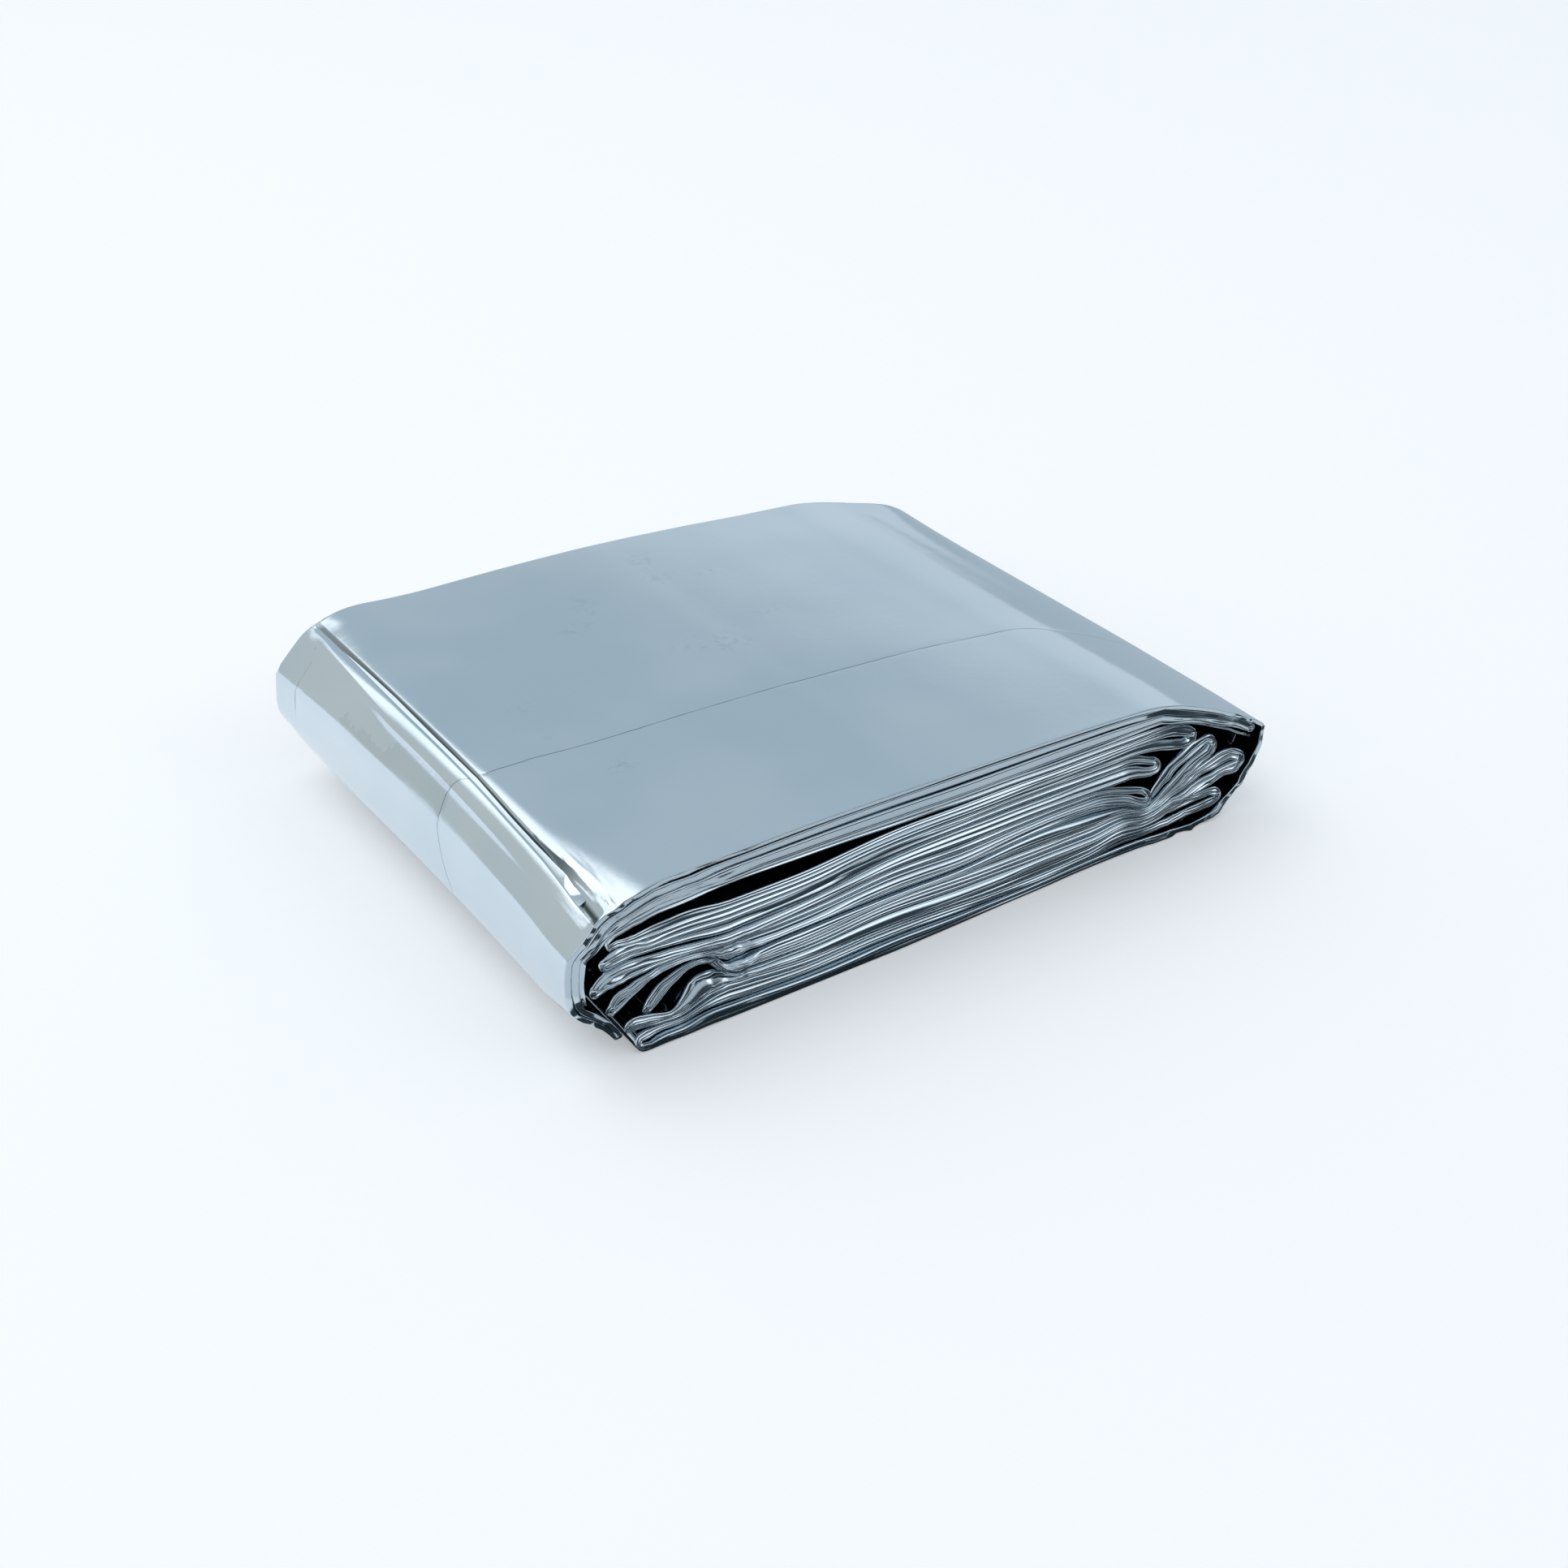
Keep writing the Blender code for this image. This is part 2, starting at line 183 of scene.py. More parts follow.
POINTED_END = (
    # name            x      z     t1_mid t1_half t2_mid t2_half t3_mid t3_half corner_mm
    ("dome end",      41.0, 24.8,  0.38,  0.34,   1.30,  0.50,   2.72,  0.84,   5.0),
    ("slope",         51.4, 20.8,  0.36,  0.32,   1.12,  0.38,   2.02,  0.46,   5.0),
    ("near tip",      59.6, 16.5,  0.34,  0.30,   1.02,  0.32,   1.72,  0.32,   2.0),
    ("tip",           63.1, 14.3,  0.34,  0.30,   1.02,  0.32,   1.72,  0.32,   0.8),
    ("under tip",     62.4,  9.6,  0.36,  0.32,   1.02,  0.32,   1.72,  0.32,   1.6),
    ("low slope",     59.0,  4.6,  0.38,  0.34,   1.02,  0.32,   1.72,  0.32,   2.0),
    ("heel",          54.6,  0.9,  0.42,  0.38,   1.02,  0.32,   1.72,  0.32,   1.6),
)
# the thin inner strip that runs on into the pointed end, from its free end
INNER_STRIP = ((60.2, 12.9), (54.4, 16.05), (48.4, 19.0), (45.4, 19.95), (41.0, 20.55))

# How the section changes through the depth: y as a share of the half depth. lift
# raises the top crease, so the top panel runs level up to it behind the near corner.
SECTIONS = (
    # share  flare  drop   dome  sway   sink  lift
    (-1.00,  0.00,  0.00,  0.00,  0.00,  0.0,  0.00),
    (-0.90, -0.05, -0.10,  0.05,  0.10,  0.1,  0.25),
    (-0.70, -0.70, -0.45,  0.15,  0.35,  0.2,  0.80),
    (-0.40, -1.25, -0.60,  0.25,  0.45,  0.4,  1.35),
    (-0.05, -1.40, -0.60,  0.30,  0.20,  0.7,  1.55),
    (0.35,  -1.10, -0.65,  0.25, -0.20,  1.0,  1.25),
    (0.72,  -0.60, -0.75,  0.10, -0.35,  1.3,  0.80),
    (0.93,  -0.05, -1.00,  0.00, -0.15,  1.6,  0.30),
    (1.00,   0.20, -1.10, -0.10,  0.00,  1.6,  0.15),
)

# Spacing of the outer face's stations, by the distance (mm) past the top crease.
SPACING = (
    (-160.0, 1.4), (-131.0, 1.1), (-126.0, 0.6), (-118.0, 0.6), (-112.0, 1.2), (-104.0, 1.3), (-92.0, 1.5), (-14.0, 1.5),
    (-6.5, 0.7), (-3.2, 0.24), (1.3, 0.24), (3.6, 0.30), (5.0, 0.8), (30.0, 0.8),
)


# ---- small tools ------------------------------------------------------------------
def ramp(x, start, end):
    """A smooth step from 0 at start to 1 at end."""
    t = np.clip((np.asarray(x, float) - start) / (end - start), 0.0, 1.0)
    return t * t * (3 - 2 * t)


def curve_at(xs, ys, x):
    """A smooth curve through the named points, held level beyond them."""
    xs, ys, x = np.asarray(xs, float), np.asarray(ys, float), np.asarray(x, float)
    slope = np.gradient(ys, xs)
    k = np.clip(np.searchsorted(xs, x) - 1, 0, len(xs) - 2)
    d = xs[k + 1] - xs[k]
    t = np.clip((x - xs[k]) / d, 0.0, 1.0)
    return (
        ys[k] * (2 * t**3 - 3 * t**2 + 1)
        + slope[k] * d * (t**3 - 2 * t**2 + t)
        + ys[k + 1] * (3 * t**2 - 2 * t**3)
        + slope[k + 1] * d * (t**3 - t**2)
    )


def noise(u, v, seed):
    """Smooth value noise, -1 to 1, one cell a unit."""
    u, v = np.broadcast_arrays(np.asarray(u, float), np.asarray(v, float))
    iu, iv = np.floor(u).astype(np.int64), np.floor(v).astype(np.int64)
    fu, fv = u - iu, v - iv
    fu, fv = fu * fu * fu * (fu * (fu * 6 - 15) + 10), fv * fv * fv * (fv * (fv * 6 - 15) + 10)

    def node(a, b):
        h = (a * 374761393 + b * 668265263 + seed * 974634777) & 0xFFFFFFFF
        h = ((h ^ (h >> 13)) * 1274126177) & 0xFFFFFFFF
        h = ((h ^ (h >> 16)) * 2246822519) & 0xFFFFFFFF
        return (h ^ (h >> 15)) / 2147483647.5 - 1.0

    low = node(iu, iv) * (1 - fu) + node(iu + 1, iv) * fu
    high = node(iu, iv + 1) * (1 - fu) + node(iu + 1, iv + 1) * fu
    return low * (1 - fv) + high * fv


def eased(values, reach):
    """A running mean along the path."""
    values = np.asarray(values, float)
    padded = np.concatenate([[values[0]] * reach, values, [values[-1]] * reach])
    return np.convolve(padded, np.ones(2 * reach + 1) / (2 * reach + 1), "valid")


def unit(v):
    s = math.hypot(*v)
    return (v[0] / s, v[1] / s)


# ---- the path ---------------------------------------------------------------------
def edges_of(name, x):
    """Lower and upper face of a bundle of the stack at x."""
    k = ROW[name]
    up = float(curve_at(COLUMNS, BANDS[k][1:7], x))
    low = float(curve_at(COLUMNS, BANDS[k + 1][1:7], x)) if name != "B1" else -AIR
    return low + AIR, up - AIR


def middle(name, x):
    low, up = edges_of(name, x)
    return (x, (low + up) / 2, (up - low) / 2)


def nose_points(x, z, deg, radius, half, steps=FOLD_STEPS):
    a = math.radians(deg)
    turn = -1 if math.cos(a) > 0 else 1
    start = a - turn * math.pi / 2
    return [
        (x + radius * math.cos(start + turn * math.pi * i / steps),
         z + radius * math.sin(start + turn * math.pi * i / steps), half)
        for i in range(steps + 1)
    ]


def lane(rows, mid, half, flip=False):
    """The outer face moved inwards by each row's own depth: (x, z, half, corner)."""
    rows = list(rows)
    out = []
    for i, r in enumerate(rows):
        a, b = rows[max(i - 1, 0)], rows[min(i + 1, len(rows) - 1)]
        d1 = unit((r[1] - a[1], r[2] - a[2])) if i else None
        d2 = unit((b[1] - r[1], b[2] - r[2])) if i < len(rows) - 1 else None
        d1, d2 = d1 or d2, d2 or d1
        n1, n2 = (d1[1], -d1[0]), (d2[1], -d2[0])
        n = unit((n1[0] + n2[0], n1[1] + n2[1]))
        k = r[mid] / max(n[0] * n1[0] + n[1] * n1[1], 0.5) * (-1 if flip else 1)
        out.append((r[1] + n[0] * k, r[2] + n[1] * k, r[half], r[9]))
    return out


def trace(points, step):
    """A dense line along (x, z, half, corner) points, its corners rounded off."""
    out = [points[0][:3]]
    for i in range(1, len(points)):
        a, b = points[i - 1], points[i]
        last = out[-1]
        if i < len(points) - 1:
            c = points[i + 1]
            r = min(b[3], 0.45 * math.dist(a[:2], b[:2]), 0.45 * math.dist(b[:2], c[:2]))
            u, v = unit((b[0] - a[0], b[1] - a[1])), unit((c[0] - b[0], c[1] - b[1]))
            p = (b[0] - u[0] * r, b[1] - u[1] * r)
            q = (b[0] + v[0] * r, b[1] + v[1] * r)
        else:
            p = q = b[:2]
            r = 0
        run = math.dist(last[:2], p)
        n = max(1, round(run / step))
        for j in range(1, n + 1):
            t = j / n
            out.append((last[0] + (p[0] - last[0]) * t, last[1] + (p[1] - last[1]) * t, last[2] + (b[2] - last[2]) * t))
        if r:
            turns = max(3, round(2 * r / step))
            for j in range(1, turns + 1):
                t = j / turns
                out.append(tuple((1 - t) ** 2 * p[k] + 2 * t * (1 - t) * b[k] + t * t * q[k] for k in (0, 1)) + (b[2],))
    return out


def run_through(points, step):
    """A smooth line through (x, z, half) points."""
    P = np.array([p[:3] for p in points])
    s = np.concatenate([[0], np.cumsum(np.hypot(*(P[1:, :2] - P[:-1, :2]).T))])
    t = np.linspace(0, s[-1], max(2, round(s[-1] / step)) + 1)
    return [tuple(float(curve_at(s, P[:, k], w)) for k in range(3)) for w in t]


def knot_steps(name, x0, x1, coarse):
    """x stations along a bundle: close together in the knot of small crumples."""
    xs, x = [], x0
    while x < x1 - 0.4 * coarse:
        xs.append(x)
        near = name in ("S4", "S5", "S6", "S7", "S8", "S9", "S10") and x < -32.0
        x += 0.7 if near else coarse
    return xs + [x1]


def between(name, before, after, right):
    """Stations of a stack bundle from the hairpin before it to the one after it."""
    lo = LEAVE_LEFT
    hi = EARLY_RIGHT if name in LEAVES_EARLY else LEAVE_RIGHT
    fine = name in ("S4", "S5", "S6", "S7", "S8", "S9", "S10", "S11")
    mids = [middle(name, x) for x in knot_steps(name, lo, hi if after or before is None else 38.0, 2.1)]
    ways = sorted(row[1:] for row in WAY if row[0] == name)
    left, beyond = [w for w in ways if w[0] < lo], [w for w in ways if w[0] > hi]
    if not right:
        mids, left, beyond = mids[::-1], beyond[::-1], left[::-1]
    out = []
    if before:
        run = before[-2:] + left + mids[:2]
        out += trim(run_through(run, 0.8 if fine and right else 1.3), before[-1], mids[0])
    out += mids
    if after:
        run = mids[-2:] + beyond + after[:2]
        out += trim(run_through(run, 0.8 if fine and not right else 1.3), mids[-1], after[0])
    return out


def spaced(points, crease, spacing):
    """The line again, its steps set by the distance past the crease."""
    P = np.array(points)
    run = np.concatenate([[0.0], np.cumsum(np.hypot(*np.diff(P[:, :2], axis=0).T))])
    zero = run[int(np.argmin(np.hypot(P[:, 0] - crease[0], P[:, 1] - crease[1])))]
    table, at = np.array(spacing), [0.0]
    while at[-1] < run[-1] - 0.4:
        at.append(at[-1] + float(np.interp(at[-1] - zero, table[:, 0], table[:, 1])))
    at = np.array(at) * run[-1] / at[-1]
    return [tuple(float(np.interp(w, run, P[:, k])) for k in range(3)) for w in at]


def trim(points, start, end):
    """The points strictly between two places on the line, not too near them."""
    first = min(range(len(points)), key=lambda i: math.dist(points[i][:2], start[:2]))
    last = min(range(len(points)), key=lambda i: math.dist(points[i][:2], end[:2]))
    return [
        p for p in points[first + 1: last]
        if math.dist(p[:2], start[:2]) > 0.35 and math.dist(p[:2], end[:2]) > 0.35
    ]


def the_path():
    """Every station of the path: x, z, half thickness and the bundle's row."""
    line = []

    def add(points, name):
        line.extend((p[0], p[1], p[2], ROW[name]) for p in points)

    # the strip's inner free end in the pointed end, and T4
    add(run_through([(*p, 0.20) for p in INNER_STRIP] + [middle("T4", 35.8)], 1.8), "T4")
    before = None                      # the end of the hairpin just left
    for upper, lower, x, z, deg, radius, half in FOLDS:
        nose = nose_points(x, z, deg, radius, half)
        right = math.cos(math.radians(deg)) > 0
        add(between(upper, before, nose, right), upper)
        add(nose[: len(nose) // 2], upper)
        add(nose[len(nose) // 2:], lower)
        before = nose
    # the lowest bundle along the floor, round the pointed end and over the top
    add(between("B1", before, None, True), "B1")
    mids = [middle("B1", 38.0)]
    outer_from = len(line)
    right_lane = lane(POINTED_END, 3, 4, flip=False)[::-1]
    foot = [(*mids[-1], 0.0), (50.5, 0.42, 0.42, 2.0)]
    top = [(*middle("T1", x), 6.0) for x in (28.0, 18.7, 3.7, -10.5, -24.2, -37.2)]
    left_lane = lane(ROUND_END, 3, 4, flip=True)
    add(spaced(trace(foot + right_lane + top + left_lane, 0.12), (-57.0, 23.0), SPACING)[1:], "T1")
    outer_to = len(line)
    # the tucked fold, and the second bundle back inside the first
    inner_lane = lane(ROUND_END, 5, 6, flip=True)[::-1]
    p, q = left_lane[-1], inner_lane[0]
    c = ((p[0] + q[0]) / 2, (p[1] + q[1]) / 2)
    r = math.dist(p[:2], q[:2]) / 2
    a0 = math.atan2(p[1] - c[1], p[0] - c[0])
    tuck = [(c[0] + r * math.cos(a0 + math.pi * i / 8), c[1] + r * math.sin(a0 + math.pi * i / 8), 0.40) for i in range(1, 8)]
    add(tuck, "T2")
    add(trace(inner_lane, 1.5), "T2")
    right_lane2 = lane(POINTED_END[:4], 5, 6, flip=False)
    over = [inner_lane[-1][:3], (-43.5, 24.43, 0.62)] + [middle("T2", x) for x in COLUMNS] + [right_lane2[0][:3]]
    add(run_through(over, 1.6)[1:], "T2")
    r2 = right_lane2[:3]
    stop = tuple(r2[2][k] + 0.25 * (right_lane2[3][k] - r2[2][k]) for k in (0, 1)) + (0.30, 0.0)
    add(trace(r2[:2] + [r2[2], stop], 1.5)[1:], "T2")
    right_lane3 = lane(POINTED_END[:4], 7, 8, flip=False)
    r3 = right_lane3[:3]
    p = stop
    q = tuple(r3[2][k] + 0.10 * (right_lane3[3][k] - r3[2][k]) for k in (0, 1)) + (0.30, 0.0)
    c = ((p[0] + q[0]) / 2, (p[1] + q[1]) / 2)
    r = math.dist(p[:2], q[:2]) / 2
    a0 = math.atan2(p[1] - c[1], p[0] - c[0])
    add([(c[0] + r * math.cos(a0 - math.pi * i / 8), c[1] + r * math.sin(a0 - math.pi * i / 8), 0.30) for i in range(1, 8)], "T3")
    add(trace([q, (*r3[2][:3], 1.5), r3[1], r3[0]], 1.5), "T3")
    back = [r3[0][:3]] + [middle("T3", x) for x in COLUMNS[::-1]]
    lane3 = lane(ROUND_END, 7, 8, flip=True)
    back += [(-43.5, 22.6, 1.06), lane3[0][:3]]
    add(run_through(back, 1.6)[1:], "T3")
    add(trace(lane3[:5], 1.5)[1:], "T3")
    return line, outer_from, outer_to


def shifted(x, z, share):
    """Where a point of the front section lies at a given depth (share -1 to 1)."""
    table = np.array(SECTIONS)
    flare, drop, dome, sway, sink, lift = (
        curve_at(table[:, 0], table[:, k], share) for k in range(1, 7)
    )
    left = ramp(-x, 36.0, 56.0)
    right = ramp(x, -8.0, 40.0) * (1 - ramp(x, 50.0, 62.0))
    height = np.clip(z / 22.0, 0, 1)
    inner = np.maximum(0, 1 - np.abs(z - 11.0) / 11.0)
    mid = np.maximum(0, 1 - (x / 52.0) ** 2)
    high = np.clip((z - 18.6) / 4.8, 0, 1)
    dx = -flare * left * height * (1 - high) + sway * inner * (1 - left) * np.minimum(1, np.abs(x) / 40.0)
    dx = dx + 2.4 * ramp(share, 0.4, 1.0) * left * np.clip(1 - z / 12.0, 0, 1)      # tucked in low at the back
    dz = -drop * left * np.maximum(0, (z - 14.0) / 10.0) + dome * mid * height**3
    dz = dz + lift * high * ramp(-x, 48.5, 56.5)
    dz = dz - sink * right * np.maximum(0, z - 0.5) / 24.5
    dz = dz + 0.65 * (1 + share) * ramp(x, 40.0, 60.0) * np.clip(z / 12.0, 0, 1)     # the tip climbs to the back
    low = ramp(share, -1.0, -0.78) * (1 - ramp(share, 0.80, 1.0))                   # the low crease sags between its ends
    dz = dz - 1.0 * low * ramp(-x, 55.0, 60.5) * (1 - ramp(z, 10.5, 15.5))
    return x + dx, z + dz


# ---- surface detail of the outer face ---------------------------------------------
# Places are (sigma, y) in mm: sigma runs over the outer face from the crease at the
# top left, positive along the top and negative down the rounded end.
DARK_LINE = ((2.3, 48.0), (2.0, 28.2), (1.4, 1.0), (1.1, -10.5), (0.5, -21.5), (0.2, -31.8), (-0.4, -39.8), (-0.9, -48.0))
STRIP_LEFT = ((1.5, 48.0), (1.2, 41.5), (0.0, 29.8), (-1.4, 13.8), (-1.7, 0.8), (-2.0, -9.5), (-2.5, -27.0), (-2.7, -40.2), (-3.1, -48.0))
WEDGE_RIGHT = ((1.1, -10.5), (0.9, -23.0), (1.6, -33.2), (2.5, -40.2), (2.4, -44.8), (1.7, -48.0))
LINES_AT = (-7.2, -3.1, -0.9, 1.7, 11.0)      # where these lines start at the front edge
DIVE = (  # (depth_mm, y): how far the top film dives behind the strip
    (0.20, 47.0), (0.35, 36.0), (0.60, 18.0), (0.80, 2.0), (0.90, -12.0), (1.00, -26.0), (0.80, -38.0), (0.45, -48.0),
)
MID_CREASE = (  # (y, sigma): the fold line that runs the length of the film
    (-14.5, -21.0), (-12.0, -14.0), (-8.8, -9.6), (-7.6, -7.0), (-7.2, -5.2), (-6.8, -3.4), (-8.0, -0.4), (-9.6, 0.9),
    (-10.8, 2.9), (-12.2, 27.3), (-13.0, 52.2), (-13.9, 77.6), (-15.2, 95.5), (-17.0, 104.0), (-19.0, 118.0), (-20.0, 150.0),
)
BACK_CREASE = (  # (y, sigma)
    (40.0, -20.0), (40.8, -6.4), (40.5, -2.5), (43.0, 0.8), (42.8, 3.0), (42.5, 15.0), (43.6, 40.0), (45.5, 70.0),
)
DENTS = (
    # name            sigma   y     r_sigma r_y  depth_mm
    ("facet patch",   -4.4,  14.0,  2.2,   10.0,  0.07),
    ("facet low",     -4.4, -26.0,  2.2,    9.0,  0.03),
    ("lower facet",  -11.0,  10.0,  3.0,   22.0,  0.10),
    ("thumb",         36.0,  22.0,  7.0,    6.0,  0.07),
    ("panel middle",  58.0,   6.0,  9.0,    8.0,  0.06),
    ("panel front",   24.0, -26.0, 10.0,    7.0,  0.05),
    ("corner ridge",   7.6, -38.6,  3.6,    0.8, -0.030),
    ("corner pucker",  5.6, -42.2,  2.2,    0.7,  0.028),
)
# faint marks on the top panel and where the darker patch on the film's facet ends
SMUDGES = (
    # sigma   y     r_sigma r_y
    (56.0,   37.5,  1.2,  2.6),
    (58.0,   36.5,  1.4,  2.4),
    (55.8,   29.8,  2.2,  1.6),
    (64.5,   28.0,  2.2,  1.0),
    (35.7,   20.8,  2.6,  1.8),
    (40.4,   26.5,  1.6,  3.2),
    (53.1,    2.8,  3.0,  2.6),
    (49.0,    6.0,  4.0,  2.2),
    (64.2,   10.5,  1.8,  1.2),
    (15.8,    2.8,  1.8,  1.0),
    (19.7,  -19.5,  2.2,  1.6),
    (14.9,   -5.8,  1.2,  1.0),
)
PATCH_EDGE = (  # (sigma, y): the darker patch lies on the lower side of this line
    (-6.9, 27.0), (-4.4, 25.0), (-6.0, 21.5), (-4.9, 19.0), (-5.0, 13.0), (-3.2, 9.5), (-2.7, 5.0), (-1.9, -4.0), (-1.9, -7.5), (-7.4, -8.5),
)


def line_u(points, y):
    """sigma of a polyline of (sigma, y) points at y."""
    table = np.array(points, float)
    order = np.argsort(table[:, 1])
    return np.interp(y, table[order, 1], table[order, 0])


def line_y(points, u):
    """y of a polyline of (y, sigma) points at sigma."""
    table = np.array(points, float)
    return np.interp(u, table[:, 1], table[:, 0])


def painted_tuck_shade(u, y):
    """How much shade is painted, 0 to 1, where the top film turns under the strip and little light reaches it."""
    off = u - line_u(DARK_LINE, y)
    wide = np.maximum(line_u(WEDGE_RIGHT, y) - line_u(DARK_LINE, y), 0.35)
    line = np.where(off > -0.06, 1 - ramp(off, 0.50, 1.05), 0.0) * (0.60 + 0.40 * ramp(-y, -42.0, -18.0))
    wedge = np.where((off > -0.06) & (off < wide), 0.86, 0.0) * ramp(-y, 9.0, 15.0) * (1 - 0.85 * ramp(-y, 34.0, 42.0))
    return np.maximum(line, wedge)


def followed(u, y):
    """Where a station's line runs at depth y: near the crease the stations follow
    the strip's left edge, the dark line and the wedge's right edge."""
    dark = line_u(DARK_LINE, y)
    to = (
        np.full_like(y, LINES_AT[0]), line_u(STRIP_LEFT, y), dark,
        np.maximum(line_u(WEDGE_RIGHT, y), dark + 0.9), np.full_like(y, LINES_AT[4]),
    )
    out = np.where(u < LINES_AT[0], u, to[0]) + np.where(u > LINES_AT[4], u - LINES_AT[4], 0.0)
    for k in range(4):
        t = np.clip((u - LINES_AT[k]) / (LINES_AT[k + 1] - LINES_AT[k]), 0, 1)
        out = out + t * (to[k + 1] - to[k])
    return out


def outer_detail(u, y):
    """How far the outer face stands out (+) or sinks in, mm, at sigma u and depth y:
    the broad shape first, then the creases."""
    broad = 0.07 * noise(u / 33.0, y / 38.0, 11) + 0.012 * noise(u / 11.0, y / 13.0, 12)
    for _, cu, cy, ru, ry, depth in DENTS:
        broad = broad - depth * np.exp(-((u - cu) / ru) ** 2 - ((y - cy) / ry) ** 2)
    # the top film bends over and dives behind the strip
    dark, left = line_u(DARK_LINE, y), line_u(STRIP_LEFT, y)
    off = u - dark
    wide = np.maximum(line_u(WEDGE_RIGHT, y) - dark, 0.9)
    t = np.clip(off / wide, 0, 1)
    bend = np.clip(1 - off / (wide + 1.9), 0, 1) ** 2
    dive = np.interp(-y, [-q for _, q in DIVE], [q for q, _ in DIVE])
    d = np.where(off >= -0.02, -dive * (1 - t) ** 1.15 - 0.20 * bend * (0.35 + 0.65 * ramp(-y, -40.0, 0.0)), 0.0)
    # the strip is a flatter face, proud of the facet on its left
    across = dark - left
    t = np.clip((u - left) / across, 0, 1)
    d = d + np.where(off < -0.02, across * (0.04 - 0.20 * t) * (1 - ramp(left - u, 0.0, 1.2)), 0.0)
    # creases along the film
    off = y - line_y(MID_CREASE, u)
    d = d - 0.035 * np.exp(-np.abs(off) / 0.25) + 0.012 * np.tanh(off / 2.0)
    off = y - line_y(BACK_CREASE, u)
    d = d - 0.06 * np.exp(-np.abs(off) / 0.6) * (1 - ramp(u, 10.0, 45.0))
    # small crumples at the wedge's near end and at the back corner
    near = np.exp(-(((u - 1.2) / 2.0) ** 2)) * ramp(-y, 31.0, 43.0)
    d = d + near * (0.16 * (1 - 2 * np.abs(noise(u / 0.55 + y / 17.0, y / 6.0, 15))) + 0.07 * noise(u / 0.8, y / 1.8, 16))
    far = np.exp(-(((u - 1.0) / 3.5) ** 2)) * ramp(y, 38.0, 46.0)
    d = d + far * 0.08 * noise(u / 1.8, y / 2.4, 17)
    return broad, d


# ---- the film's mesh --------------------------------------------------------------
SIDE = (-0.945, -0.75, -0.42, 0.0, 0.42, 0.80)      # shares of the half depth
LOBE = 5                                            # steps over each rounded ply at the front
BACK_LOBE = 4
OUTER_NEAR = (0.35, 0.8, 1.4, 2.1, 3.0, 4.1, 5.4, 6.8)    # mm in from the front edge
CREASE_NEAR = (-2.2, -1.1, -0.45, -0.15, 0.15, 0.45, 1.1, 2.2)
LEAF_SIDE = (-0.75, -0.2, 0.36, 0.955)
LEAF_PAIRS = 7


